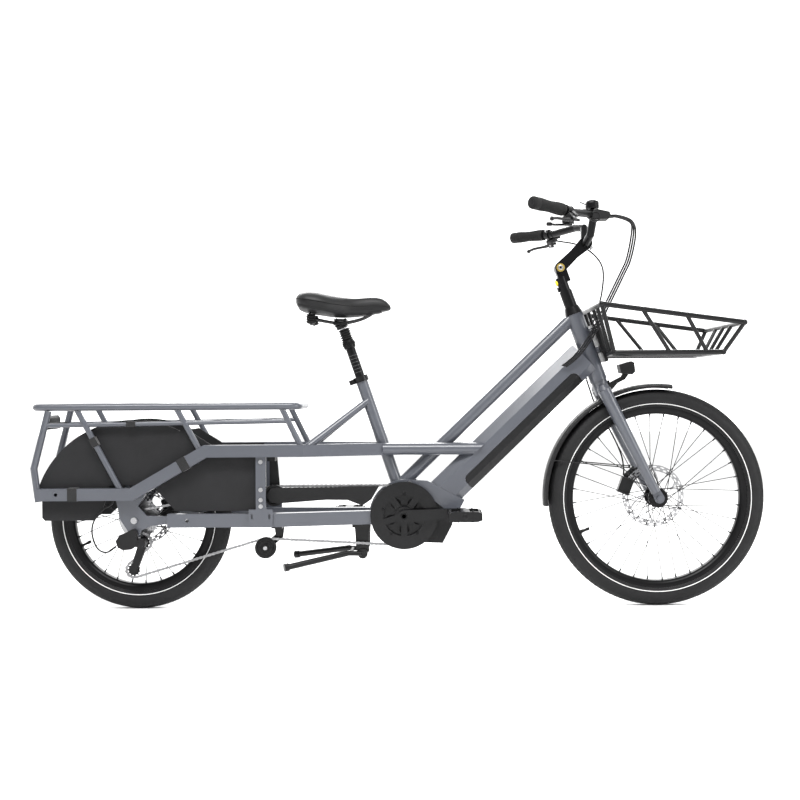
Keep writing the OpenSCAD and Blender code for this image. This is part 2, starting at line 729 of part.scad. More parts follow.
// Spokes cross three times; each runs from a flange to the rim.
module spokes(c, tyre_d, count, flange_r, y_right, y_left) {
    rim_r = bead_r(tyre_d) - rim_depth - 0.2;
    for (i = [0 : count - 1]) {
        left = i % 2 == 0;
        lead = floor(i / 2) % 2 == 0 ? 1 : -1;
        a = 360 * i / count + 4;
        b = a + lead * 58;
        y0 = left ? y_left : y_right;
        y = y0 + (floor(i / 2) % 2 == 0 ? 4.2 : -4.2);
        rod([c[0] + flange_r * cos(b), y, c[1] + flange_r * sin(b)],
            [c[0] + rim_r * cos(a), left ? 4 : -4, c[1] + rim_r * sin(a)], spoke_d / 2);
    }
}
front_flange_r = 24;
front_flange_y = [-32, 26];
rear_flange_r = 26;
rear_flange_y = [-17, 33];
module front_spokes() {
    color(steel) spokes(front_axle, front_tyre_d, front_spokes, front_flange_r,
                        front_flange_y[0], front_flange_y[1]);
}
module rear_spokes() {
    color(steel) spokes(rear_axle, rear_tyre_d, rear_spokes, rear_flange_r,
                        rear_flange_y[0], rear_flange_y[1]);
}
front_disc_y = 37;
rear_disc_y = 46;
disc_t = 2;
// A brake disc: a friction ring with holes, held by arms.
module brake_disc(c, d, y) {
    difference() {
        disc_y(c, d / 2, y, y + disc_t);
        difference() {
            disc_y(c, d / 2 - 17, y - 1, y + disc_t + 1);
            disc_y(c, 24, y - 2, y + disc_t + 2);
            for (k = [0 : 5]) translate(v3(c, y + disc_t / 2)) rotate([0, 60 * k, 0])
                translate([d / 4, 0, 0]) cube([d / 2, 10, 7], center = true);
        }
        for (k = [0 : 17]) disc_y(c + (d / 2 - 8) * [cos(20 * k), sin(20 * k)], 2.6, y - 1, y + disc_t + 1);
    }
}
module front_hub() {
    color(black) difference() {
        union() {
            disc_y(front_axle, 14, -44, front_disc_y + disc_t + 4);
            for (y = front_flange_y) disc_y(front_axle, front_flange_r + 4, y - 1.6, y + 1.6);
            brake_disc(front_axle, front_disc_d, front_disc_y);
            disc_y(front_axle, 24, front_disc_y - 3, front_disc_y + 0.01);
        }
        disc_y(front_axle, 5 + fit, -100, 100);
    }
}
module rear_hub() {
    color(black) difference() {
        union() {
            disc_y(rear_axle, 17, rear_flange_y[0] - 1.6, rear_disc_y + disc_t + 6);
            for (y = rear_flange_y) disc_y(rear_axle, rear_flange_r + 4, y - 1.6, y + 1.6);
            brake_disc(rear_axle, rear_disc_d, rear_disc_y);
            disc_y(rear_axle, 24, rear_disc_y - 3, rear_disc_y + 0.01);
        }
        disc_y(rear_axle, 5 + fit, -100, 100);
    }
}
cog_step = 4.8;
cog_t = 1.8;
function cog_r(i) = sprocket_r - chain_h / 2 - gap + i * 6.1;
module cassette() {
    color(steel) difference() {
        union() {
            for (i = [0 : 6]) disc_y(rear_axle, cog_r(i), chain_y + cog_step * i - cog_t / 2,
                                     chain_y + cog_step * i + cog_t / 2);
            disc_y(rear_axle, 16, chain_y - 6, rear_flange_y[0] - 2.1);
        }
        disc_y(rear_axle, 5 + fit, -100, 100);
    }
}

// ================= cranks and pedals =================
crank_rise = 3;
pedal_at = crank_length * [cos(crank_rise), sin(crank_rise)];
arm_y = 72;
arm_t = 13;
module crank_arm(dir) {
    link(bb, bb + dir * pedal_at, 17, 13, arm_y, arm_y + arm_t);
}
module crankset() {
    color(black) difference() {
        union() {
            mirror([0, 1, 0]) crank_arm(1);
            crank_arm(-1);
            disc_y(bb, 10, -arm_y - 5, arm_y + 5);
            disc_y(bb, 26, -arm_y - 0.01, -60);
            disc_y(bb, ring_r - chain_h / 2 - gap, chain_y - 1.5, chain_y + 1.5);
            ring_y(bb, 95.5, 58, -64, -61);
            for (k = [0 : 4]) at(bb) rotate([0, 72 * k + 18, 0])
                translate([16, -63.4, -9]) cube([47, 1.9, 18]);
            for (k = [0 : 4]) disc_y(bb + 62 * [cos(72 * k + 18), -sin(72 * k + 18)], 6, -62, chain_y);
        }
        for (k = [0 : 4]) disc_y(bb + 40 * [cos(72 * k + 54), sin(72 * k + 54)], 14,
                                 chain_y - 2, chain_y + 2);
        disc_y(bb + pedal_at, 7 + fit, -100, 0);
        disc_y(bb - pedal_at, 7 + fit, 0, 100);
    }
}
pedal_y = 96;
pedal_w = 92;
module pedal(p) {
    // seen on the left side: spindle and a cage plate with two treads
    disc_y(p, 7, arm_y + 0.2, pedal_y + pedal_w - 4);
    difference() {
        plate([for (s = [[-46, -9], [-46, 9], [-34, 14], [34, 14], [46, 9], [46, -9], [34, -14],
                         [-34, -14]]) p + s], pedal_y, pedal_y + pedal_w);
        for (s = [-1, 1]) translate([p[0] + s * 25, pedal_y + pedal_w / 2, p[1]])
            cube([26, pedal_w - 22, 40], center = true);
    }
}
module pedal_right() { color(black) mirror([0, 1, 0]) pedal(bb + pedal_at); }
module pedal_left() { color(black) pedal(bb - pedal_at); }

// ================= kickstand =================
stand_pivot = [641, 158];
module kickstand() {
    x = stand_pivot[0];
    z = stand_pivot[1];
    color(black) difference() {
        union() {
            both_sides() {
                disc_y(stand_pivot, 14, 38.5, 46);
                rod([x - 4, 46, z + 1], [x - 46, 56, z + 3], 7);
                rod([x - 44, 55.5, z + 3], [436, 122, 133], 8.5);
                rod([440, 120, 133.5], [428, 125, 132], 11);
            }
            disc_y([x - 34, z + 2.5], 5, -52, 52);
        }
        disc_y(stand_pivot, 6 + fit, -100, 100);
    }
}

// ================= battery =================
module battery() {
    color(black) {
        intersection() {
            down_box();
            battery_cover(0);
        }
        battery_core(0);
    }
}

// ================= seat =================
post_out = 119;
boot_h = 34;
module seatpost() {
    color(black) seating() translate([0, 0, seat_length - 130]) difference() {
        union() {
            cylinder(d = post_d, h = 130 + post_out);
            translate([0, 0, 130 + post_out - 16]) cylinder(d = post_d + 7, h = 16);
        }
        translate([0, 0, 60]) cylinder(d = 20 + 2 * fit, h = 300);
    }
}
carriage_z = seat_length + post_out;
module suspension_boot() {
    step = boot_h / 4;
    color(rubber) seating() translate([0, 0, carriage_z + 0.3]) difference() {
        for (k = [0 : 3]) translate([0, 0, k * step]) {
            cylinder(r1 = 13, r2 = 17, h = step / 2);
            translate([0, 0, step / 2]) cylinder(r1 = 17, r2 = 13, h = step / 2 - (k == 3 ? 0.3 : 0));
        }
        translate([0, 0, -1]) cylinder(d = 20.6, h = 80);
    }
}
clamp_at = seat_foot + (carriage_z + boot_h + 18) * seat_axis;
module saddle_carriage() {
    x = clamp_at[0];
    z = clamp_at[1];
    color(steel) {
        seating() translate([0, 0, carriage_z - 30]) cylinder(d = 20, h = 30 + boot_h + 12);
        both_sides() {
            rod([x - 84, 36, z + 12], [x - 18, 21, z + 2], 3.5);
            rod([x + 12, 21, z + 2], [x + 96, 12, z + 27], 3.5);
        }
    }
    color(black) {
        translate([x - 22, -28, z - 6]) cube([40, 56, 14]);
        // rubber springs and their plate at the back
        translate([x - 92, -34, z - 3]) cube([16, 68, 7]);
        both_sides() translate([x - 84, 36, z + 1]) cylinder(r = 13, h = spring_top - 1);
    }
}
spring_top = 25.7;
module saddle() {
    color(rubber) at(clamp_at) hull() {
        both_sides() translate([-97, 58, 60]) sphere(r = 33, $fn = 36);
        both_sides() translate([-98, 44, 40]) sphere(r = 14, $fn = 24);
        both_sides() translate([-40, 44, 34]) sphere(r = 8, $fn = 24);
        both_sides() translate([20, 28, 36]) sphere(r = 8, $fn = 24);
        translate([124, 0, 62]) sphere(r = 17, $fn = 36);
        translate([134, 0, 48]) sphere(r = 9, $fn = 24);
    }
}
module seat_clamp() {
    color(black) {
        seating() translate([0, 0, seat_length - 8]) difference() {
            union() {
                cylinder(d = seat_tube_d + 9, h = 16);
                translate([-seat_tube_d / 2 - 18, -8, 0]) cube([18, 16, 14]);
            }
            translate([0, 0, -1]) cylinder(d = seat_tube_d + 0.4, h = 9);
            translate([0, 0, 7]) cylinder(d = post_d + 0.4, h = 20);
            translate([-60, -1, -1]) cube([60, 2, 20]);
        }
        seating() translate([-seat_tube_d / 2 - 11, -13, seat_length - 1]) rotate([-90, 0, 0])
            cylinder(d = 5, h = 26);
    }
}

// ================= basket =================
basket_top_z = [852, 800];
basket_top_x = [1300, 1685];
basket_low_z = [722, 722];
basket_low_x = [1340, 1640];
basket_r = 7;
function basket_point(level, f, s) = level == 1
    ? [basket_top_x[0] + f * (basket_top_x[1] - basket_top_x[0]), s * basket_half,
       basket_top_z[0] + f * (basket_top_z[1] - basket_top_z[0])]
    : [basket_low_x[0] + f * (basket_low_x[1] - basket_low_x[0]), s * basket_floor_half,
       basket_low_z[0] + f * (basket_low_z[1] - basket_low_z[0])];
module basket_loop(level, r) {
    p = [basket_point(level, 0, 1), basket_point(level, 1, 1), basket_point(level, 1, -1),
         basket_point(level, 0, -1)];
    for (i = [0 : 3]) {
        rod(p[i], p[(i + 1) % 4], r);
        translate(p[i]) sphere(r = r + 1);
    }
}
module front_basket() {
    color(black) {
        basket_loop(1, basket_r);
        basket_loop(0, basket_r);
        for (s = [-1, 1]) for (f = [[0.286, 0.51], [0.595, 0.85]])
            rod(basket_point(1, f[0], s), basket_point(0, f[1], s), 5.5);
        for (s = [-1, 1]) rod(basket_point(1, 0, s), basket_point(0, 0, s), 6);
        for (s = [-1, 1]) rod(basket_point(1, 1, s), basket_point(0, 1, s), 6);
        // bars of the back and the front
        for (t = [-0.6, -0.24, 0.24, 0.6])
            rod(basket_point(1, 0, t), basket_point(0, 0, t), 5.5);
        for (t = [-0.4, 0, 0.4])
            rod(basket_point(1, 1, t), basket_point(0, 1, t), 5.5);
        // floor bars run from back to front
        for (t = [-0.72, -0.36, 0, 0.36, 0.72])
            rod(basket_point(0, 0, t), basket_point(0, 1, t), 4.5);
        // plate between the basket and the head tube's bosses
        difference() {
            steering() translate([head_d / 2 + 6.3, -46, 46]) cube([9, 92, 112]);
            steering() for (z = basket_boss_z) translate([0, 0, z]) rotate([0, 90, 0])
                cylinder(d = 6.4, h = 80);
        }
    }
}

// ================= fork =================
blade_y = [56, 55];
blade_r = [19, 13];
crown_gap = 0.5;
module blade_solid(grow = 0) {
    steering() both_sides() {
        rod([-3, blade_y[0], -12], [-3, blade_y[0], -26], 13 + grow, blade_r[0] + grow);
        rod([-3, blade_y[0], -26], [34, blade_y[1], -350], blade_r[0] + grow, blade_r[1] + grow);
    }
}
module crown_solid(grow = 0) {
    steering() {
        translate([0, 0, -38]) cylinder(d = 46 + 2 * grow, h = 38 - crown_gap);
        translate([-2, -blade_y[0], -24]) rotate([-90, 0, 0])
            cylinder(r = 14 + grow, h = 2 * blade_y[0]);
    }
}
module fork() {
    color(paint) difference() {
        union() {
            crown_solid();
            blade_solid();
            steering() translate([0, 0, -30]) cylinder(d = steerer_d, h = 30 + head_length + 60);
            both_sides() link(front_axle, front_axle + [-29, 58], 14, 9, 49, 56);
        }
        disc_y(front_axle, 5 + fit, -100, 100);
    }
    // axle and nuts
    color(steel) {
        disc_y(front_axle, 5, -64, 64);
        both_sides() disc_y(front_axle, 8.5, 56.3, 63);
        disc_y(front_axle, 8, -48.8, -44.5);
        disc_y(front_axle, 8, front_disc_y + disc_t + 4.5, 48.8);
    }
}
fender_r = 322;
fender_t = 2.5;
fender_half = 31;
fender_from = 82;
fender_to = 184;
module front_fender() {
    color(black) {
        translate(v3(front_axle, 0)) rotate([90, 0, 0]) rotate([0, 0, fender_from])
            rotate_extrude(angle = fender_to - fender_from, $fn = 96)
                polygon([[fender_r - 8, -fender_half], [fender_r - 2, -fender_half],
                         [fender_r + 3, -fender_half + 9], [fender_r + 5, -10], [fender_r + 5, 10],
                         [fender_r + 3, fender_half - 9], [fender_r - 2, fender_half],
                         [fender_r - 8, fender_half], [fender_r - 8, fender_half - 2.2],
                         [fender_r - 3, fender_half - 2.4], [fender_r, fender_half - 11],
                         [fender_r + 2.4, 10], [fender_r + 2.4, -10], [fender_r, -fender_half + 11],
                         [fender_r - 3, -fender_half + 2.4], [fender_r - 8, -fender_half + 2.2]]);
        // boss under the crown
        steering() translate([0, 0, -46]) cylinder(r = 7, h = 46 - 38.3);
    }
    // wire stays from the fender to clips on the fork blades
    color(steel) difference() {
        both_sides() {
            rod(v3(fender_stay, fender_half + 1), v3(fork_clip, 52), 1.6);
            disc_y(fender_stay, 4, fender_half - 0.5, fender_half + 3);
            at(fork_clip, 52) sphere(r = 4);
        }
        blade_solid(0.2);
    }
}
fender_stay = front_axle + (fender_r - 4) * [cos(160), sin(160)];
fork_clip = front_axle + [-66, 86];
module headlight() {
    color(black) difference() {
        union() {
            difference() {
                plate([[1383, 668], [1378, 692], [1412, 702], [1421, 698], [1424, 672], [1416, 664]], -24, 24);
                plate([[1414, 696], [1440, 694], [1440, 670], [1414, 668]], -20, 20);
            }
            // stay bolted to the front of the crown
            plate([[1352, 640], [1352, 616], [1358, 618], [1378, 640], [1398, 650], [1408, 664.1],
                   [1392, 668.1], [1386, 658], [1366, 648]], -3.5, 3.5);
            steering() translate([23.3, -9, -34]) cube([4, 18, 26]);
        }
        crown_solid(0.3);
    }
    color("white") plate([[1414.3, 694], [1419, 692], [1420, 673], [1414.3, 671]], -19.5, 19.5);
}
module caliper(c, a, y0, y1, y, d) {
    // a body over the edge of the disc, at angle a
    translate(v3(c, 0)) rotate([0, -a, 0]) difference() {
        translate([d / 2 - 22, y0, -24]) cube([36, y1 - y0, 48]);
        translate([d / 2 - 23, y - 0.8, -30]) cube([25, disc_t + 1.6, 60]);
    }
}
front_caliper_a = 160;
module front_caliper() {
    color(black) {
        caliper(front_axle, front_caliper_a, 28.5, 50, front_disc_y, front_disc_d);
        // bracket on the fork blade
        difference() {
            plate([front_axle + [-62, 32], front_axle + [-86, 60], front_axle + [-50, 92],
                   front_axle + [-30, 66]], 44, 49.9);
            blade_solid(0.2);
        }
    }
    color(rubber) steering() cable(curve(fork_hose), 2.4);
}
fork_hose = [[-26, 40, 14], [-27, 42, -20], [-27, 46, -60], [-19, 50, -100], [-8, 51, -180],
             [-6, 49, -230], [-14, 44, -268], [-22, 41, -286]];
module rear_caliper() {
    color(black) {
        caliper(rear_axle, rear_caliper_a, 37.5, 61, rear_disc_y, rear_disc_d);
        plate([rear_axle + [30, -10], rear_axle + [90, -8], rear_axle + [92, 30], rear_axle + [60, 46]],
              60, dropout_in - 0.2);
    }
}
rear_caliper_a = 22;

// ================= stem and bars =================
post_base = head_length + 0.5;
pivot_ahead = 8;
module stem_post() {
    color(black) steering() difference() {
        union() {
            // cover of the upper bearing, clamp round the steerer and the post
            translate([0, 0, post_base]) cylinder(d1 = head_d + 2, d2 = 40, h = 22);
            translate([0, 0, post_base + 21]) cylinder(d = 36, h = 50);
            translate([0, 0, post_base + 70]) cylinder(d = 31, h = stem_pivot_h - post_base - 96);
            translate([pivot_ahead - 16, -12, stem_pivot_h - 44]) cube([32, 24, 44]);
            translate([pivot_ahead, -12, stem_pivot_h]) rotate([-90, 0, 0]) cylinder(r = 16, h = 24);
        }
        translate([0, 0, post_base - 10]) cylinder(d = steerer_d + 0.2, h = 74);
        translate([pivot_ahead, -50, stem_pivot_h]) rotate([-90, 0, 0]) cylinder(r = 6 + fit, h = 100);
    }
    // release button behind the pivot
    color("yellow") steering() translate([-15.2, 0, stem_pivot_h - 58]) rotate([0, -90, 0])
        cylinder(r = 7, h = 5);
}
stem_pivot = head_low + stem_pivot_h * [-sin(head_tilt), cos(head_tilt)]
             + pivot_ahead * [cos(head_tilt), sin(head_tilt)];
bar_clamp = [1285, 1042];
stem_neck = stem_pivot + [42, 41];
module stem_arm() {
    color(black) difference() {
        union() {
            for (y = [-19.5, 12.3]) link(stem_pivot, stem_neck, 16, 14, y, y + 7.2);
            link(stem_neck, bar_clamp, 14, 19, -19.5, 19.5);
            disc_y(stem_pivot, 6, -20, 20);
        }
        disc_y(bar_clamp, bar_d / 2 + 0.1, -60, 60);
        disc_y(stem_pivot, 17.5, -12.3, 12.3);
    }
    // pivot pin and its ring
    color(black) disc_y(stem_pivot, 6, -13, 13);
    color("gold") both_sides() ring_y(stem_pivot, 12, 8, 19.7, 21);
}
bar_points = [[1285, 28, 1042], [1292, 62, 1060], [1296, 92, 1102], [1276, 130, 1108], [1218, 205, 1101]];
grip_end = [1104, bar_half, 1106];
module bar_solid(grow = 0) {
    rod([1285, -30, 1042], [1285, 30, 1042], bar_d / 2 + grow);
    both_sides() {
        bent_tube(concat(bar_points, [grip_end - 8 * grip_dir]), bar_d / 2 + grow);
        translate(bar_points[0]) sphere(r = bar_d / 2 + 0.3 + grow);
    }
}
module handlebar() { color(black) bar_solid(); }
grip_dir = unit(grip_end - bar_points[4]);
grip_turn = atan2(grip_dir[1], grip_dir[0]);
grip_rise = asin(grip_dir[2]);
grip_length = 126;
// Beside the left grip: x out along the bar, -y towards the brake lever, from the bar's last bend.
lever_drop = 48;
module at_grip(along, drop = 0) {
    translate(bar_points[4] + along * grip_dir) rotate([0, -grip_rise, grip_turn]) rotate([drop, 0, 0])
        children();
}
module grips() {
    color(rubber) both_sides() difference() {
        rod(grip_end - grip_length * grip_dir, grip_end + 2 * grip_dir, grip_d / 2);
        rod(grip_end - (grip_length + 1) * grip_dir, grip_end - 4 * grip_dir, bar_d / 2 + 0.15);
    }
}
lever_pin = [6, -36];
module brake_body() {
    at_grip(20, lever_drop) difference() {
        union() {
            translate([-6, 0, 0]) rotate([0, 90, 0]) cylinder(r = 15.5, h = 13);
            translate([-6, -44, -9]) cube([22, 34, 18]);
        }
        translate([-9, 0, 0]) rotate([0, 90, 0]) cylinder(r = bar_d / 2 + 0.15, h = 30);
        translate([lever_pin[0] - 11, -50, -5.5]) cube([60, 25, 11]);
        translate([lever_pin[0], lever_pin[1], -20]) cylinder(r = 2.5 + fit, h = 40);
    }
}
module brake_lever() {
    at_grip(20, lever_drop) {
        translate([lever_pin[0], lever_pin[1], -9]) cylinder(r = 2.5, h = 18);
        translate([lever_pin[0], lever_pin[1], -5]) cylinder(r = 8, h = 10);
        translate([0, 0, -5]) linear_extrude(height = 10)
            polygon([[lever_pin[0], -43.5], [40, -49], [80, -52], [108, -58], [108, -50], [80, -43],
                     [40, -39], [lever_pin[0], -28.5]]);
        translate([106, -54, -5]) cylinder(r = 6, h = 10);
    }
}
module brake_lever_left() { color(black) brake_lever(); }
module brake_lever_right() { color(black) mirror([0, 1, 0]) brake_lever(); }
shift_pin = [-4, 6];
module shift_pod() {
    at_grip(8) {
        difference() {
            union() {
                translate([-6, 0, 0]) rotate([0, 90, 0]) cylinder(r = 15, h = 11);
                translate([shift_pin[0], shift_pin[1], -30]) cylinder(r = 17, h = 17);
                translate([-6, -12, -22]) cube([11, 22, 12]);
            }
            translate([-9, 0, 0]) rotate([0, 90, 0]) cylinder(r = bar_d / 2 + 0.15, h = 30);
        }
        translate([shift_pin[0], shift_pin[1], -38]) cylinder(r = 3, h = 9);
    }
}
module shift_lever() {
    color(black) mirror([0, 1, 0]) at_grip(8) difference() {
        union() {
            translate([shift_pin[0], shift_pin[1], -37]) cylinder(r = 12, h = 5);
            translate([0, 0, -37]) linear_extrude(height = 5)
                polygon([[-12, 12], [8, 10], [26, 34], [30, 48], [18, 50], [10, 36]]);
            translate([24, 48, -37]) cylinder(r = 8, h = 9);
        }
        translate([shift_pin[0], shift_pin[1], -50]) cylinder(r = 3 + fit, h = 30);
    }
}
module controls() {
    color(black) {
        both_sides() brake_body();
        mirror([0, 1, 0]) shift_pod();
        difference() {
            union() {
                // display on the right-hand rise, with the bell above it
                translate([1284, -128, 1090]) cube([54, 50, 30]);
                translate([1290, -110, 1119]) cylinder(r = 6, h = 6);
            }
            bar_solid(0.15);
        }
        translate([1290, -110, 1124.9]) cylinder(r = 19, h = 18);
        translate([1290, -110, 1142.8]) cylinder(r1 = 19, r2 = 11, h = 8);
    }
}

module fasteners() {
    color(steel) {
        // rear axle with its spacers and nuts
        disc_y(rear_axle, 5, -82, 82);
        both_sides() disc_y(rear_axle, 9, dropout_in + dropout_t + 0.2, dropout_in + dropout_t + 7);
        disc_y(rear_axle, 9, -dropout_in + 0.2, chain_y - 6.4);
        disc_y(rear_axle, 9, rear_disc_y + disc_t + 6.4, dropout_in - 0.2);
        // bolts in the posts
        both_sides() for (z = post_bolt_z) disc_y([post_x, z], 6, lower_y + 19, lower_y + 22);
        // bolts that hold the basket to the head tube
        steering() for (z = basket_boss_z) translate([head_bore / 2 + 1, 0, z]) rotate([0, 90, 0]) {
            cylinder(d = 5.8, h = 20);
            translate([0, 0, head_d / 2 + 15.6 - head_bore / 2 - 1]) cylinder(d = 10, h = 5);
        }
        // bolts of the motor, in the sides of its cradle
        both_sides() for (a = [80, 120, 152]) disc_y(bb + 92 * [cos(a), sin(a)], 5.5, 42.2, 45.5);
    }
}

// ================= cables =================
module frame_cables() {
    low = lower_z - lower_h / 2;
    color(rubber) {
        // shift cable: out of the rail, down behind the derailleur
        cable(curve([[-58, -85, 318.4], [-62, -85, 306], [-86, -85, 292], [-112, -85, 258],
                     [-116, -85, 222], [-102, -85, 184], [-76, -85, 172], [-49.5, -84.5, 188]]), 2.4);
        // rear brake hose under the left rail
        cable(curve([[608, 50, low - 4.6], [500, 65, low - 5.2], [400, 79, low - 5.2],
                     [250, 80, low - 5.2], [130, 80, low - 5.2], [104, 74, low - 6], [90, 60, low - 2],
                     [84, 52, low + 6]]), 2.4);
    }
}
bundle = [[1338.3, 1104], [1362, 1104], [1399, 1089], [1418, 1060], [1406, 990], [1386, 945],
          [1342, 856], [1318, 806], [1286, 752], [1254, 712], [1222, 686]];
bundle_y = [0, -8, -18, -10, 0, 0, 0, 0, 2, 4, 9];
module bar_cables() {
    color(rubber) {
        for (k = [0 : 2]) cable(curve([for (i = [0 : len(bundle) - 1])
            let (spread = i < 3 ? [-118, -104, -90][k] : -62)
            [bundle[i][0] - (i < 3 ? 0 : 5.8 * k), spread + (i < 3 ? 0 : bundle_y[i]),
             bundle[i][1] + (i < 3 ? 0 : 1.5 * k)]]), 2.5);
        // hose of the front brake, down to the crown
        cable(curve([bar_points[4] + 13.4 * grip_dir + [13, 12.6, -20],
                     bar_points[4] - 6 * grip_dir + [13, 12.6, -21], [1300, 140, 1052],
                     [1346, 82, 990], [1343, 60, 908], [1320, 58, 830], [1300, 56, 760],
                     [1289, 50, 700], v3(head_low, 40) + [-29.6, 0, 5.4]]), 2.4);
    }
}

place() head_tube();
place() down_tube();
place() top_tube();
place() seat_tube();
place() frame_braces();
place() side_rails();
place() lower_rails();
place() frame_plates();
place() rack_deck();
place() rack_stays();
place() footboard_posts();
place() wheel_skirts();
place() skirt_straps();
place() rear_light();
place() motor();
place() chain_guard();
place() kickstand_mount();
place() chain();
place() derailleur_body();
place() derailleur_cage();
place() jockey_wheel_upper();
place() jockey_wheel_lower();
place() seat_clamp();
place() front_basket();
place() fasteners();
place() rear_caliper();
place() frame_cables();
place() bar_cables();
place() battery();
place() seatpost();
place() suspension_boot();
place() saddle_carriage();
place() saddle();
place() fork();
place() front_fender();
place() headlight();
place() front_caliper();
place() stem_post();
place() stem_arm();
place() handlebar();
place() grips();
place() controls();
place() brake_lever_right();
place() brake_lever_left();
place() shift_lever();
place() front_tyre();
place() front_rim();
place() front_spokes();
place() front_hub();
place() rear_tyre();
place() rear_rim();
place() rear_spokes();
place() rear_hub();
place() cassette();
place() crankset();
place() pedal_right();
place() pedal_left();
place() kickstand();
place() chain_roller_upper();
place() chain_roller_lower();
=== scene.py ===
import math

import bmesh
import bpy
from mathutils import Matrix, Vector


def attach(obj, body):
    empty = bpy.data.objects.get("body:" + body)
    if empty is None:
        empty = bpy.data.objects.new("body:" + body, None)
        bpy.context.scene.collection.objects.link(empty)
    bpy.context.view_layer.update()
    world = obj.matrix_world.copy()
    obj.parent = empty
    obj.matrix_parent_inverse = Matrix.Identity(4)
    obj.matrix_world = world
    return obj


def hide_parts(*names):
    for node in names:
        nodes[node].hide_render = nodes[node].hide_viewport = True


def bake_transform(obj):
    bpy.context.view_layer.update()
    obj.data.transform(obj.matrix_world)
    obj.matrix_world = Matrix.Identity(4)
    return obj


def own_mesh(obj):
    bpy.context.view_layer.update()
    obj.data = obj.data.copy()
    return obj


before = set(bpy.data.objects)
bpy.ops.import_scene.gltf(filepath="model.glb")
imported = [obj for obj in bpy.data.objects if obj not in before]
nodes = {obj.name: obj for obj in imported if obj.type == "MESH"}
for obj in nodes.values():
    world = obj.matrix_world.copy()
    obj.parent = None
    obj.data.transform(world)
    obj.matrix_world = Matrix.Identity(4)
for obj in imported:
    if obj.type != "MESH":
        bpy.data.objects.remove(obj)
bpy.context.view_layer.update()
MID = 755.25  # the row frame's origin ahead of the rear axle, in millimetres

# ---------------------------------------------------------------- camera
cam = bpy.data.objects.new("camera", bpy.data.cameras.new("camera"))
bpy.context.scene.collection.objects.link(cam)
bpy.context.scene.camera = cam
cam.location = (0.0799, -3.10, 0.617)
cam.rotation_euler = (math.pi / 2, math.radians(0.36), 0)
cam.data.lens = 36 * 3.10 / 0.002888 / 800
cam.data.shift_x = -0.0375
cam.data.shift_y = -0.010
cam.data.clip_end = 60

# ---------------------------------------------------------------- stage and light
scene = bpy.context.scene
scene.view_settings.view_transform = "Standard"
scene.view_settings.exposure = 0.35
world = bpy.data.worlds.new("studio")
scene.world = world
world.use_nodes = True
world.node_tree.nodes["Background"].inputs[0].default_value = (1, 1, 1, 1)
world.node_tree.nodes["Background"].inputs[1].default_value = 0.50


def area(name, loc, aim, size, power):
    light = bpy.data.objects.new(name, bpy.data.lights.new(name, "AREA"))
    light.data.shape = "RECTANGLE"
    light.data.size, light.data.size_y = size
    light.data.energy = power
    light.location = loc
    light.rotation_euler = (Vector(aim) - Vector(loc)).to_track_quat("-Z", "Y").to_euler()
    scene.collection.objects.link(light)


area("key", (-0.4, -2.2, 3.6), (0, 0, 0.4), (3.4, 0.9), 150)
area("side", (3.2, -1.6, 1.8), (0.3, 0, 0.5), (1.0, 2.2), 40)
area("back", (0.2, 2.8, 2.4), (0, 0, 0.5), (3.4, 1.0), 110)
floor_mesh = bpy.data.meshes.new("floor")
floor_mesh.from_pydata([(-14, -9, 0), (14, -9, 0), (14, 14, 0), (-14, 14, 0)], [], [(0, 1, 2, 3)])
floor = bpy.data.objects.new("floor", floor_mesh)
scene.collection.objects.link(floor)
wall_mesh = bpy.data.meshes.new("backdrop")
wall_mesh.from_pydata([(-30, 13, -6), (30, 13, -6), (30, 13, 22), (-30, 13, 22)], [], [(0, 1, 2, 3)])
wall = bpy.data.objects.new("backdrop", wall_mesh)
scene.collection.objects.link(wall)


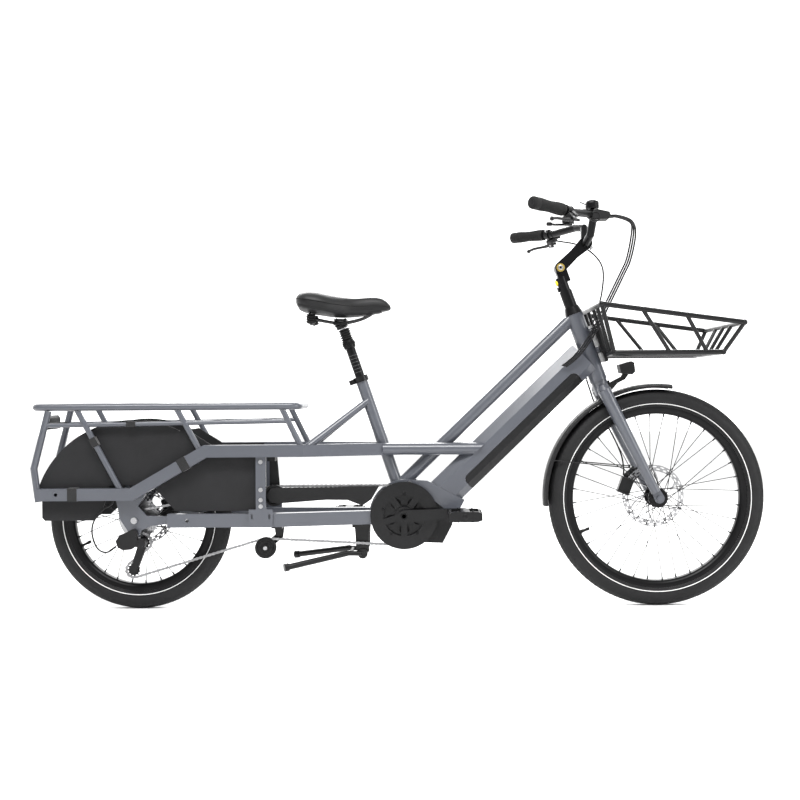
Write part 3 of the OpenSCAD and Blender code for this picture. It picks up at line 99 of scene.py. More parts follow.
# ---------------------------------------------------------------- materials
def material(name, colour, rough=0.5, metal=0.0, vary=0.0, scale=60.0, spread=0.08, bump=0.0,
             grain=900.0, coat=0.0, coat_rough=0.1, wave=0.0, wave_scale=0.0, sheen=0.0, stretch=None, spec=0.5):
    m = bpy.data.materials.new(name)
    m.use_nodes = True
    t = m.node_tree
    link, new = t.links.new, t.nodes.new
    s = t.nodes["Principled BSDF"]
    s.inputs["Metallic"].default_value = metal
    s.inputs["Specular IOR Level"].default_value = spec
    s.inputs["Coat Weight"].default_value = coat
    s.inputs["Coat Roughness"].default_value = coat_rough
    s.inputs["Sheen Weight"].default_value = sheen
    where = new("ShaderNodeTexCoord").outputs["Object"]
    if stretch:
        mapping = new("ShaderNodeMapping")
        mapping.inputs["Scale"].default_value = stretch
        link(where, mapping.inputs["Vector"])
        where = mapping.outputs["Vector"]

    def noise(size, detail):
        n = new("ShaderNodeTexNoise")
        n.inputs["Scale"].default_value = size
        n.inputs["Detail"].default_value = detail
        link(where, n.inputs["Vector"])
        return n.outputs["Fac"]

    cloud = noise(scale, 4)
    ramp = new("ShaderNodeValToRGB")
    ramp.color_ramp.elements[0].position, ramp.color_ramp.elements[1].position = 0.3, 0.7
    ramp.color_ramp.elements[0].color = [c * (1 - vary) for c in colour] + [1]
    ramp.color_ramp.elements[1].color = [min(1, c * (1 + vary)) for c in colour] + [1]
    link(cloud, ramp.inputs["Fac"])
    link(ramp.outputs["Color"], s.inputs["Base Color"])
    r = new("ShaderNodeMapRange")
    r.inputs["To Min"].default_value = max(0.03, rough - spread)
    r.inputs["To Max"].default_value = min(1, rough + spread)
    link(noise(scale * 2.7, 5), r.inputs["Value"])
    link(r.outputs["Result"], s.inputs["Roughness"])
    if bump or wave:
        b = new("ShaderNodeBump")
        b.inputs["Strength"].default_value = max(bump, wave)
        b.inputs["Distance"].default_value = 0.0006
        height = noise(grain, 3)
        if wave:
            w = new("ShaderNodeTexWave")
            w.inputs["Scale"].default_value = wave_scale
            w.inputs["Distortion"].default_value = 0.6
            link(where, w.inputs["Vector"])
            mix = new("ShaderNodeMath")
            mix.operation = "ADD"
            link(w.outputs["Fac"], mix.inputs[0])
            link(height, mix.inputs[1])
            height = mix.outputs[0]
        link(height, b.inputs["Height"])
        link(b.outputs["Normal"], s.inputs["Normal"])
    return m


paint = material("paint", (0.068, 0.073, 0.088), 0.34, vary=0.03, scale=14, bump=0.03, grain=1600, coat=0.45,
                 coat_rough=0.16)
black_metal = material("black_metal", (0.0048, 0.0048, 0.0053), 0.38, 0.30, vary=0.15, scale=30, bump=0.06,
                       grain=2400, coat=0.15, spec=0.3)
anodised = material("anodised", (0.0045, 0.0045, 0.0050), 0.32, 0.45, vary=0.1, scale=40, bump=0.04,
                    grain=3000, spec=0.3)
black_plastic = material("black_plastic", (0.0050, 0.0050, 0.0055), 0.52, vary=0.12, scale=35, bump=0.22,
                         grain=1500, spec=0.3)
battery_black = material("battery_black", (0.0045, 0.0045, 0.0050), 0.40, vary=0.08, scale=20, bump=0.12, grain=2600,
                         coat=0.1, spec=0.3)
skirt_black = material("skirt_black", (0.0070, 0.0070, 0.0080), 0.66, vary=0.18, scale=9, bump=0.3, grain=1300,
                       sheen=0.15, spec=0.3)
tyre_black = material("tyre_black", (0.0068, 0.0068, 0.0073), 0.62, vary=0.2, scale=26, bump=0.3, grain=1900, spec=0.3)
rubber = material("rubber", (0.0068, 0.0068, 0.0068), 0.70, vary=0.2, scale=50, bump=0.25, grain=1700, spec=0.3)
hose = material("hose", (0.0056, 0.0056, 0.0062), 0.38, vary=0.1, scale=80, bump=0.05, grain=2500, spec=0.3)
steel = material("steel", (0.42, 0.42, 0.43), 0.30, 1.0, vary=0.08, scale=60, bump=0.04, grain=2500)
chain_steel = material("chain_steel", (0.28, 0.28, 0.285), 0.30, 1.0, vary=0.2, scale=120)
spoke_steel = material("spoke_steel", (0.012, 0.012, 0.013), 0.35, 0.5, vary=0.1, scale=90)
mark_grey = material("mark_grey", (0.16, 0.16, 0.165), 0.35, 0.6, vary=0.1, scale=80)
chrome = material("chrome", (0.78, 0.78, 0.79), 0.10, 1.0, vary=0.02, scale=40, spread=0.03)
gold = material("gold", (0.62, 0.46, 0.13), 0.30, 1.0, vary=0.08, scale=80)
yellow = material("yellow", (0.86, 0.66, 0.02), 0.45, vary=0.04, scale=60)
leather = material("leather", (0.0048, 0.0048, 0.0053), 0.46, vary=0.2, scale=40, bump=0.4,
                   grain=1000, sheen=0.1, spec=0.3)
webbing = material("webbing", (0.0050, 0.0050, 0.0056), 0.8, vary=0.2, scale=60, wave=0.6,
                   wave_scale=420, sheen=0.3, spec=0.3)
stripe = material("stripe", (0.80, 0.80, 0.79), 0.35, vary=0.03, scale=90, bump=0.1, grain=2600)
red_lens = material("red_lens", (0.42, 0.01, 0.012), 0.12, vary=0.06, scale=120, coat=0.8)
white_lens = material("white_lens", (0.85, 0.86, 0.87), 0.08, vary=0.02, scale=60, coat=1.0)
screen = material("screen", (0.006, 0.007, 0.010), 0.08, vary=0.02, scale=60, coat=1.0)
pale = material("pale_floor", (0.93, 0.93, 0.93), 0.9)
floor.data.materials.append(pale)
glow = bpy.data.materials.new("backdrop_white")
glow.use_nodes = True
glow.node_tree.nodes["Principled BSDF"].inputs["Emission Color"].default_value = (1, 1, 1, 1)
glow.node_tree.nodes["Principled BSDF"].inputs["Emission Strength"].default_value = 0.95
wall.data.materials.append(glow)

FINISH = {
    "head_tube": paint, "down_tube": paint, "top_tube": paint, "seat_tube": paint, "frame_braces": paint,
    "side_rails": paint, "lower_rails": paint, "frame_plates": paint, "rack_deck": paint, "rack_stays": paint,
    "fork": paint, "wheel_skirts": skirt_black, "skirt_straps": webbing, "rear_light": red_lens,
    "motor": black_plastic, "chain_guard": black_plastic, "battery": battery_black, "fasteners": steel,
    "frame_cables": hose, "front_fender": black_plastic, "headlight": black_plastic, "front_spokes": spoke_steel,
    "rear_spokes": spoke_steel, "seatpost": anodised, "stem_post": anodised, "stem_arm": anodised,
    "handlebar": anodised, "front_basket": black_metal, "crankset": black_metal, "kickstand": black_metal,
}
for name, node in nodes.items():
    for place in node.material_slots:
        place.material = FINISH.get(name, black_metal)
footposts = nodes["footboard_posts"]
for place in footposts.material_slots:
    place.material = paint


# ---------------------------------------------------------------- mesh tools, in millimetres from the rear axle
class Shape:
    def __init__(self):
        self.v, self.f = [], []

    def add(self, verts, faces):
        n = len(self.v)
        self.v += [Vector(p) for p in verts]
        self.f += [[n + i for i in f] for f in faces]
        return self

    def rings(self, rings, caps=True, loop=False):
        """Skin between rings of points; loop joins the last ring to the first."""
        k, n = len(rings[0]), len(rings)
        faces = []
        for i in range(n if loop else n - 1):
            j = (i + 1) % n
            faces += [(i * k + a, i * k + (a + 1) % k, j * k + (a + 1) % k, j * k + a) for a in range(k)]
        if caps and not loop:
            faces += [list(range(k))[::-1], [(n - 1) * k + a for a in range(k)]]
        return self.add([p for r in rings for p in r], faces)

    def tube(self, pts, r, sides=12, flat=1.0):
        pts = [Vector(p) for p in pts]
        rs = r if isinstance(r, (list, tuple)) else [r] * len(pts)
        up, rings = None, []
        for i, p in enumerate(pts):
            d = (pts[min(i + 1, len(pts) - 1)] - pts[max(i - 1, 0)]).normalized()
            if up is None:
                up = d.cross(Vector((0.31, 0.11, 0.17))).normalized()
            up = (up - d * up.dot(d)).normalized()
            side = d.cross(up)
            rings.append([p + rs[i] * (up * math.cos(a) + side * math.sin(a) * flat)
                          for a in [2 * math.pi * k / sides for k in range(sides)]])
        return self.rings(rings)

    def turn(self, at, axis, profile, sides=40, closed=False):
        """A profile of (distance along the axis, radius) turned round the axis."""
        at, axis = Vector(at), Vector(axis).normalized()
        up = axis.orthogonal().normalized()
        side = axis.cross(up)
        rings = [[at + axis * h + r * (up * math.cos(a) + side * math.sin(a))
                  for h, r in profile] for a in [2 * math.pi * k / sides for k in range(sides)]]
        k = len(profile)
        faces = []
        for i in range(sides):
            j = (i + 1) % sides
            for a in range(k if closed else k - 1):
                b = (a + 1) % k
                faces.append((i * k + a, i * k + b, j * k + b, j * k + a))
        return self.add([p for r in rings for p in r], faces)

    def prism(self, outline, y0, y1):
        """An outline of (x, z) points between two distances from the middle."""
        n = len(outline)
        verts = [(x, y0, z) for x, z in outline] + [(x, y1, z) for x, z in outline]
        faces = [list(range(n)), list(range(n, 2 * n))[::-1]]
        faces += [(i, n + i, n + (i + 1) % n, (i + 1) % n) for i in range(n)]
        return self.add(verts, faces)

    def block(self, m, lo, hi):
        c = [m @ Vector((x, y, z)) for z in (lo[2], hi[2]) for y in (lo[1], hi[1]) for x in (lo[0], hi[0])]
        return self.add(c, [(0, 1, 3, 2), (4, 6, 7, 5), (0, 4, 5, 1), (2, 3, 7, 6), (0, 2, 6, 4), (1, 5, 7, 3)])

    def mirrored(self):
        s = Shape()
        s.v = [Vector((p.x, -p.y, p.z)) for p in self.v]
        s.f = [f[::-1] for f in self.f]
        return s

    def make(self, name, mat, body, *stands_for, angle=35, bevel=0.0, subdiv=0, slot=None, ride=True):
        me = bpy.data.meshes.new(name)
        me.from_pydata([((p.x - MID) / 1000, p.y / 1000, p.z / 1000) for p in self.v], [], self.f)
        me.update()
        bm = bmesh.new()
        bm.from_mesh(me)
        bmesh.ops.recalc_face_normals(bm, faces=bm.faces)
        bm.to_mesh(me)
        bm.free()
        me.materials.append(mat)
        me.polygons.foreach_set("use_smooth", [True] * len(me.polygons))
        me.set_sharp_from_angle(angle=math.radians(angle))
        o = bpy.data.objects.new(name, me)
        scene.collection.objects.link(o)
        if bevel:
            b = o.modifiers.new("edges", "BEVEL")
            b.width, b.segments, b.limit_method = bevel / 1000, 2, "ANGLE"
            b.harden_normals = False
        if subdiv:
            d = o.modifiers.new("smooth", "SUBSURF")
            d.levels = d.render_levels = subdiv
        if ride:
            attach(o, body)
        if stands_for:
            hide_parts(*stands_for)
        return o


def curve(pts, k=6):
    """A smooth line through the points."""
    pts = [Vector(p) for p in pts]
    out = []
    for i in range(len(pts) - 1):
        a, b, c, d = pts[max(i - 1, 0)], pts[i], pts[i + 1], pts[min(i + 2, len(pts) - 1)]
        for j in range(k):
            t = j / k
            out.append(0.5 * (2 * b + (c - a) * t + (2 * a - 5 * b + 4 * c - d) * t * t
                              + (3 * b - 3 * c + d - a) * t ** 3))
    return out + [pts[-1]]


Y = (0, 1, 0)
FRONT, REAR = (1485.0, 310.5), (0.0, 260.0)


def polar(c, r, deg, y=0.0):
    return Vector((c[0] + r * math.cos(math.radians(deg)), y, c[1] + r * math.sin(math.radians(deg))))


# ---------------------------------------------------------------- tyres, rims
def tyre(name, c, outer, body, node, blocks):
    rc, w = outer - 28.5, 28.5
    angles = [-141, -132, -124, -118, -110, -98, -86, -74, -66, -60, -54, -48, -42, -36, -30, -24, -18, -12, -6, -2,
              2, 6, 12, 18, 24, 30, 36, 42, 48, 54, 60, 66, 74, 86, 98, 110, 118, 124, 132, 141]
    around, rings = blocks * 6, []
    for i in range(around):
        a = 2 * math.pi * i / around
        ring = []
        for phi in angles:
            p = abs(phi)
            r = w
            if 4 < p < 63:
                step = (i / 6 + (p if phi > 0 else p + 3) / 15) % 1
                r -= 1.5 if step < 0.34 else 0.0
                r -= 0.7 if 27 < p < 33 else 0.0
            elif p <= 2:
                r -= 0.9
            elif 63 <= p < 70:
                r -= 1.0
            elif 104 < p < 112 or 128 < p < 134:
                r -= 0.5
            q = math.radians(phi)
            rad = rc + r * math.cos(q)
            ring.append((c[0] + rad * math.cos(a), r * math.sin(q), c[1] + rad * math.sin(a)))
        inner = [(c[0] + (outer - 57 + 8) * math.cos(a), y, c[1] + (outer - 57 + 8) * math.sin(a)) for y in (14, -14)]
        rings.append(ring + inner)
    s = Shape().rings(rings, loop=True)
    s.make(name, tyre_black, body, node, angle=50, slot="tyre")
    band = Shape()
    for side in (-1, 1):
        pro = []
        for phi, lift in ((115, -0.4), (115.6, 0.35), (119.2, 0.35), (120, -0.4)):
            q = math.radians(phi)
            pro.append((side * (w + lift) * math.sin(q), rc + (w + lift) * math.cos(q)))
        band.turn((c[0], 0, c[1]), Y, pro, 160, closed=True)
    band.make(name + "_stripe", stripe, body)


tyre("front_tyre_tread", FRONT, 310.5, "front_wheel", "front_tyre", 118)
tyre("rear_tyre_tread", REAR, 260.0, "rear_wheel", "rear_tyre", 98)


def rim(name, c, outer, body, node, count):
    rb = outer - 57
    s = Shape()
    pro = [(-17, rb + 6.4), (-15.4, rb + 7), (-15, rb + 2), (-9, rb - 4), (9, rb - 4), (15, rb + 2), (15.4, rb + 7),
           (17, rb + 6.4), (17, rb - 5), (15.6, rb - 8), (9.6, rb - 13.4), (8, rb - 14), (-8, rb - 14),
           (-9.6, rb - 13.4), (-15.6, rb - 8), (-17, rb - 5)]
    s.turn((c[0], 0, c[1]), Y, pro, 180, closed=True)
    for i in range(count):  # nipples
        y = 4 if i % 2 == 0 else -4
        a = 360 * i / count + 4
        s.tube([polar(c, rb - 13, a, y), polar(c, rb - 23, a, y)], [2.6, 1.7], 8)
    s.make(name, anodised, body, node)
    v = Shape()
    axis = polar((0, 0), 1, 205)
    v.turn(polar(c, rb - 13.5, 205), -axis, [(0, 0.1), (0, 6), (2.5, 6), (2.5, 3.6), (18, 3.6), (18, 4.6), (26, 4.6),
                                             (28, 3.8), (28, 0.1)], 20)
    v.make(name + "_valve", rubber, body)


rim("front_rim_shell", FRONT, 310.5, "front_wheel", "front_rim", 36)
rim("rear_rim_shell", REAR, 260.0, "rear_wheel", "rear_rim", 28)


def rotor(name, c, d, y, body):
    s, n = Shape(), 96
    r_in, r_out = d / 2 - 17, d / 2
    radii = [r_in, r_in + 3.4, r_in + 7.2, r_in + 9.8, r_in + 13.6, r_out]
    for j in range(5):
        for i in range(n):
            if (j == 1 and i % 4 in (0, 1)) or (j == 3 and i % 4 in (2, 3)):
                continue
            wavy = 1.1 * math.sin(i * math.pi / 8)
            wavy2 = 1.1 * math.sin((i + 1) * math.pi / 8)
            a0, a1 = 360 * i / n, 360 * (i + 1) / n
            q = [(radii[j] - (wavy if j == 0 else 0), a0), (radii[j + 1], a0), (radii[j + 1], a1),
                 (radii[j] - (wavy2 if j == 0 else 0), a1)]
            s.add([polar(c, r, a, yy) for yy in (y, y + 1.9) for r, a in q],
                  [(0, 1, 2, 3), (7, 6, 5, 4), (0, 4, 5, 1), (1, 5, 6, 2), (2, 6, 7, 3), (3, 7, 4, 0)])
    for k in range(6):  # swept arms to the carrier
        pts = [polar(c, 23 + (r_in - 20) * t, 60 * k + 30 * t, y + 1) for t in (0, 0.25, 0.5, 0.75, 1)]
        s.tube(pts, [3.4, 2.7, 2.5, 2.7, 3.4], 8, flat=0.9)
    s.turn((c[0], y - 0.6, c[1]), Y, [(0, 17), (0, 27), (3.2, 27), (3.2, 17)], 48, closed=True)
    for k in range(6):
        p = polar(c, 22, 60 * k + 10, y)
        s.turn((p.x, y + 2.6, p.z), Y, [(0, 0.1), (0, 3.2), (2.2, 3.2), (2.6, 2.4), (2.6, 0.1)], 10)
    s.make(name, steel, body)


def hub(name, c, flange_y, flange_r, ends, body, node, disc, disc_side_y):
    s = Shape()
    a, b = flange_y
    pro = [(ends[0], 6), (ends[0], 13), (a - 6, 14), (a - 2.6, flange_r - 6), (a - 2, flange_r + 4),
           (a + 2, flange_r + 4), (a + 2.6, flange_r - 6), (a + 9, 15), (b - 9, 15), (b - 2.6, flange_r - 6),
           (b - 2, flange_r + 4), (b + 2, flange_r + 4), (b + 2.6, flange_r - 6), (b + 6, 16), (ends[1], 16),
           (ends[1], 6)]
    s.turn((c[0], 0, c[1]), Y, pro, 56, closed=True)
    s.make(name, anodised, body, node)
    rotor(name + "_disc", c, disc, disc_side_y, body)


hub("front_hub_shell", FRONT, (-32, 26), 24, (-44, 41), "front_wheel", "front_hub", 180, 37)
hub("rear_hub_shell", REAR, (-17, 33), 26, (-20, 45), "rear_wheel", "rear_hub", 160, 46)


# ---------------------------------------------------------------- chain, sprockets, rollers
CHAIN_Y = -52.0


def gear(s, c, root, tip, teeth, y0, y1, hole):
    pts = []
    for i in range(teeth):
        a = 360 / teeth
        for f, r in ((0.0, root), (0.22, root), (0.42, tip), (0.58, tip), (0.78, root)):
            pts.append((r, a * (i + f)))
    n = len(pts)
    outer = [polar(c, r, a, 0) for r, a in pts]
    inner = [polar(c, hole, a, 0) for r, a in pts]
    verts = [Vector((p.x, y, p.z)) for y in (y0, y1) for ring in (outer, inner) for p in ring]
    faces = []
    for i in range(n):
        j = (i + 1) % n
        faces += [(i, j, n + j, n + i), (2 * n + i, 3 * n + i, 3 * n + j, 2 * n + j), (i, 2 * n + i, 2 * n + j, j),
                  (n + i, n + j, 3 * n + j, 3 * n + i)]
    s.add(verts, faces)


cogs = Shape()
for i, teeth in enumerate((14, 16, 18, 20, 22, 24, 28)):
    r = 20.2 + i * 6.1
    y = CHAIN_Y + 4.8 * i
    gear(cogs, REAR, r - 1.8, r + 1.6 if i else r + 3.0, teeth, y - 0.9, y + 0.9, max(14, r - 12))
cogs.turn((0, 0, 260), Y, [(-57.6, 6), (-57.6, 14.5), (-55, 16), (-19.4, 16), (-19.4, 6)], 40, closed=True)
cogs.make("cassette_sprockets", steel, "cassette", "cassette", angle=30)

for nm, body, p in (("jockey_wheel_upper", "jockey_wheel_upper", (20, 196)),
                    ("jockey_wheel_lower", "jockey_wheel_lower", (-8, 118))):
    s = Shape()
    gear(s, p, 15.6, 19.2, 11, CHAIN_Y - 1.2, CHAIN_Y + 1.2, 7)
    s.turn((p[0], CHAIN_Y, p[1]), Y, [(-4.4, 3.2), (-4.4, 6.4), (-1.4, 7.6), (1.4, 7.6), (2.4, 6.4), (2.4, 3.2)], 30,
           closed=True)
    s.make(nm + "_teeth", black_plastic, body, nm, angle=30)


def belt(circles, step=6):
    def heading(a, b):
        d = (b[0][0] - a[0][0], b[0][1] - a[0][1])
        return math.atan2(d[1], d[0]) + math.asin((a[2] * a[1] - b[2] * b[1]) / math.hypot(*d))
    out, n = [], len(circles)
    for i, (c, r, s) in enumerate(circles):
        a_in = heading(circles[i - 1], circles[i])
        a_out = heading(circles[i], circles[(i + 1) % n])
        turn = ((a_out - a_in) * s) % (2 * math.pi)
        k = max(1, math.ceil(math.degrees(turn) / step))
        for j in range(k + 1):
            a = a_in + s * turn * j / k
            out.append(Vector((c[0] + s * r * math.sin(a), CHAIN_Y, c[1] - s * r * math.cos(a))))
    return out


route = belt([((760, 268), 85, 1), ((392, 326), 26.3, 1), ((0, 260), 24.5, 1), ((20, 196), 22.3, -1),
              ((-8, 118), 22.3, 1), ((366, 178), 26.3, -1)])
route.append(route[0])
lengths = [0.0]
for a, b in zip(route, route[1:]):
    lengths.append(lengths[-1] + (b - a).length)
links = 2 * round(lengths[-1] / 12.7 / 2)
pitch = lengths[-1] / links


def on_route(d):
    d %= lengths[-1]
    k = max(i for i, v in enumerate(lengths) if v <= d)
    k = min(k, len(route) - 2)
    return route[k].lerp(route[k + 1], (d - lengths[k]) / max(1e-9, lengths[k + 1] - lengths[k]))


chain = Shape()
pins = [on_route(i * pitch) for i in range(links)]
for i in range(links):
    p, q = pins[i], pins[(i + 1) % links]
    d = (q - p).normalized()
    u = Vector((-d.z, 0, d.x))
    far = 2.9 if i % 2 else 1.9
    outline = []
    for a in (90, 126, 162, 198, 234, 270):
        outline.append(p + d * 3.9 * math.cos(math.radians(a)) + u * 3.9 * math.sin(math.radians(a)))
    mid = (p + q) / 2
    outline.append(mid - u * 2.7)
    for a in (-90, -54, -18, 18, 54, 90):
        outline.append(q + d * 3.9 * math.cos(math.radians(a)) + u * 3.9 * math.sin(math.radians(a)))
    outline.append(mid + u * 2.7)
    flat = [(v.x, v.z) for v in outline]
    for y in (-far, far - 0.9):
        chain.prism(flat, CHAIN_Y + y, CHAIN_Y + y + 0.9)
    chain.turn((p.x, CHAIN_Y, p.z), Y, [(-3.4, 0.1), (-3.4, 1.7), (3.4, 1.7), (3.4, 0.1)], 6)
    chain.turn((p.x, CHAIN_Y, p.z), Y, [(-1.9, 3.6), (1.9, 3.6)], 8)
chain.make("chain_links", chain_steel, "frame", "chain", angle=30)

for nm, p in (("chain_roller_upper", (392, 326)), ("chain_roller_lower", (366, 178))):
    s = Shape()
    pro = [(-8, 24), (-8, 29), (-7, 30), (-5, 30), (-4.2, 29), (-4, 23), (-3, 22), (3, 22), (4, 23), (4.2, 29),
           (5, 30), (7, 30), (8, 29), (8, 24), (5, 22), (5, 13), (7, 11), (7, 4.4), (-7, 4.4), (-7, 11), (-5, 13),
           (-5, 22)]
    s.turn((p[0], CHAIN_Y, p[1]), Y, pro, 48, closed=True)
    for k in range(6):
        a, b = polar(p, 11, 60 * k, CHAIN_Y), polar(p, 23, 60 * k, CHAIN_Y)
        s.tube([a + Vector((0, -5.6, 0)), b + Vector((0, -5.6, 0))], 1.5, 6)
    s.make(nm + "_wheel", black_plastic, nm, nm)
    b = Shape()
    b.turn((p[0], CHAIN_Y - 10.3, p[1]), (0, -1, 0), [(0, 5.6), (2.2, 5.6), (3, 4.8), (3, 2.4), (1.6, 2.2),
                                                     (1.6, 0.1)], 18)
    b.make(nm + "_bolt", steel, "frame")

# ---------------------------------------------------------------- cranks and pedals
trim = Shape()
for s in (-1, 1):
    trim.turn((760, s * 84.6, 268), (0, s, 0),
              [(0, 10.5), (1.5, 10.5), (2.3, 9.5), (2.3, 6), (0.4, 5), (0.4, 0.1)], 28)
for k in range(5):
    p = polar((760, 268), 62, 72 * k + 18)
    trim.turn((p.x, -64, p.z), (0, -1, 0), [(0, 4.6), (1.6, 4.6), (2.2, 3.8), (2.2, 2), (1, 1.8), (1, 0.1)], 14)
trim.make("crank_bolts", anodised, "crankset")


def pedal(name, p, side, body):
    s = Shape()
    y0, y1 = side * 96, side * 188
    for dx in (-43, 43):  # toothed side rails
        for k in range(8):
            y = y0 + side * (7 + k * 11)
            for e in (-1, 1):
                s.turn((p.x + dx, y, p.z + e * 8), (0, 0, e), [(0, 2.6), (3.4, 2.0), (4.2, 1.2), (4.2, 0.1)], 8)
    for y in (y0 + side * 12, y1 - side * 12):
        for dx in (-20, 20):
            for e in (-1, 1):
                s.turn((p.x + dx, y, p.z + e * 13), (0, 0, e), [(0, 2.6), (3, 2.0), (3.6, 1.2), (3.6, 0.1)], 8)
    s.turn((p.x, side * 96, p.z), (0, side, 0), [(0, 10), (14, 12), (78, 11), (92, 8), (94, 4), (94, 0.1)], 28)
    s.make(name + "_treads", black_metal, body)
    a = Shape()
    a.turn((p.x, side * 72.6, p.z), (0, side, 0), [(12.8, 8.4), (15, 8.4), (15, 6.2), (24, 6.2)], 6)
    a.turn((p.x, side * 71, p.z), (0, side, 0), [(0.5, 7.3), (0, 6.6), (0, 3.4), (2, 3.2), (2, 0.1)], 20)
    a.make(name + "_axle", steel, body)


reach = polar((0, 0), 170, 3)
pedal("pedal_right", Vector((760, 0, 268)) + reach, -1, "pedal_right")
pedal("pedal_left", Vector((760, 0, 268)) - reach, 1, "pedal_left")

# ---------------------------------------------------------------- saddle and its post
# X, half width, top, side edge and underside of each section
SADDLE = [(453.5, 34, 886, 880, 872), (456, 54, 896, 879, 864), (463, 70, 903, 876, 857), (475, 82, 907.5, 872, 852),
          (492, 89.5, 909, 868, 848), (512, 91, 908, 864, 845), (530, 88.5, 904.5, 861, 842), (548, 81, 900, 858, 839),
          (566, 69, 896, 856, 837), (584, 55, 893, 855, 836), (602, 43.5, 891, 854, 836), (620, 35.5, 890.5, 853, 837),
          (640, 29.5, 891.5, 853, 839), (660, 25.5, 893, 854, 842), (680, 22.8, 892, 856, 845),
          (697, 20.5, 888.5, 857, 848), (710, 17.5, 881, 857.5, 850), (719, 13, 872, 858, 852.5),
          (724, 6, 864, 858, 855)]


def section(x, half, top, edge, under, k, n=44, grow=0.0):
    a = 2 * math.pi * k / n
    c, s = math.cos(a), math.sin(a)
    y = (half + grow) * math.copysign(abs(c) ** 0.82, c)
    if s >= 0:
        z = edge + (top + grow - edge) * abs(s) ** 0.72
        dish = math.exp(-(y / 13) ** 2) * min(1, max(0, (x - 470) / 40)) * min(1, max(0, (690 - x) / 60))
        z -= 5.0 * dish * s
    else:
        y *= 0.93 + 0.07 * abs(c)
        z = edge - (edge - under + grow) * abs(s) ** 0.9
    return Vector((x, y, z))


rings = [[section(*st, k) for k in range(44)] for st in SADDLE]
cover = Shape().rings(rings)
saddle = cover.make("saddle_cover", leather, "saddle", "saddle", angle=80, subdiv=2, slot="saddle_cover")
seams = Shape()
for k in (1.2, 20.8):  # piping along the lower side of each flank
    pts = [section(*st, k, grow=0.1) for st in SADDLE[1:-1]]
    seams.tube(curve(pts, 4), 1.1, 8)
seams.make("saddle_piping", rubber, "saddle")

axis = Vector((-math.sin(math.radians(18.7)), 0, math.cos(math.radians(18.7))))
foot = Vector((743, 0, 340))


def on_post(h):
    return foot + axis * h


under = Shape()
shell = [[section(*st, k, grow=-2.5) - Vector((0, 0, 5.5)) for k in range(22, 45)] for st in SADDLE[2:16]]
under.rings(shell, caps=False)
under.make("saddle_base", black_plastic, "saddle", angle=60)
clamp = on_post(504)
rails = Shape()
for side in (-1, 1):
    rails.tube(curve([(clamp.x - 88, side * 36, clamp.z + 28), (clamp.x - 84, side * 36, clamp.z + 14),
                      (clamp.x - 60, side * 31, clamp.z + 8), (clamp.x - 20, side * 22, clamp.z + 1),
                      (clamp.x + 14, side * 22, clamp.z + 1), (clamp.x + 60, side * 18, clamp.z + 12),
                      (clamp.x + 98, side * 11, clamp.z + 32)], 6), 3.5, 12)
rails.make("saddle_rails", black_metal, "saddle")
rod = Shape()
rod.turn(on_post(422.3), axis, [(0, 0.1), (0, 9.9), (68, 9.9), (68, 0.1)], 32)
rod.make("post_inner_rod", chrome, "saddle", "saddle_carriage")
head = Shape()
base = Matrix.Translation(clamp)
for lo, hi in (((-22, -27, -7), (18, 27, -1)), ((-20, -27, 5), (16, 27, 11))):
    head.block(base, lo, hi)
head.turn(clamp - Vector((0, 0, 14)), axis, [(-3, 0.1), (-3, 13), (0, 15), (8, 15), (10, 13), (10, 0.1)], 28)
for dx in (-15, 11):
    head.turn(clamp + Vector((dx, 0, -12)), (0, 0, 1), [(0, 0.1), (0, 4.5), (4, 4.5), (4, 3), (26, 3), (26, 0.1)], 12)
head.make("saddle_clamp", black_metal, "saddle", bevel=1.2)
springs = Shape()
for side in (-1, 1):
    z = clamp.z
    springs.turn((clamp.x - 84, side * 36, z - 3), (0, 0, 1),
                 [(0, 0.1), (0, 10), (1.5, 12)]
                 + [q for k in range(3)
                    for q in ((3 + 7 * k, 13.5), (5.5 + 7 * k, 14.4), (8 + 7 * k, 13.0), (9 + 7 * k, 11.4))]
                 + [(25, 13), (27, 12), (27, 0.1)], 30)
springs.tube([(clamp.x - 84, -46, z - 1), (clamp.x - 84, 46, z - 1)], 4.5, 12)
springs.make("saddle_springs", rubber, "saddle")

boot = Shape()
pro = [(0.3, 10.4), (0.3, 13)]
for k in range(5):
    h = 0.6 + 6.6 * k
    pro += [(h + 1.0, 14.0), (h + 2.6, 17.4), (h + 3.4, 17.6), (h + 4.4, 16.6), (h + 6.0, 13.4)]
pro += [(33.6, 12.6), (33.6, 10.4)]
boot.turn(on_post(452), axis, pro, 40)
bellows = boot.make("suspension_bellows", rubber, "saddle", "suspension_boot")
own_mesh(bellows)
collar = Shape()
collar.turn(on_post(434), axis, [(-8, 13.8), (-6, 16.8), (-1, 17.6), (14, 17.6), (17.4, 15.8), (17.4, 12)], 40)
for k in range(20):
    a = 2 * math.pi * k / 20
    up, sd = Vector((math.cos(math.radians(18.7)), 0, math.sin(math.radians(18.7)))), Vector((0, 1, 0))
    c = on_post(436) + (up * math.cos(a) + sd * math.sin(a)) * 17.5
    collar.tube([c, c + axis * 10], 1.1, 6)
collar.make("post_collar", anodised, "seatpost")
lines = Shape()
for h in range(14, 74, 10):  # engraved height marks, no numbers
    c = on_post(340 + h)
    lines.turn(c, axis, [(0, 13.75), (0.8, 13.75)], 40)
lines.make("post_marks", mark_grey, "seatpost")

# ---------------------------------------------------------------- handlebar controls
LAST, END = Vector((1218, 205, 1101)), Vector((1104, 322, 1106))
GRIP = (END - LAST).normalized()
turn_z = math.atan2(GRIP.y, GRIP.x)
rise = math.asin(GRIP.z)


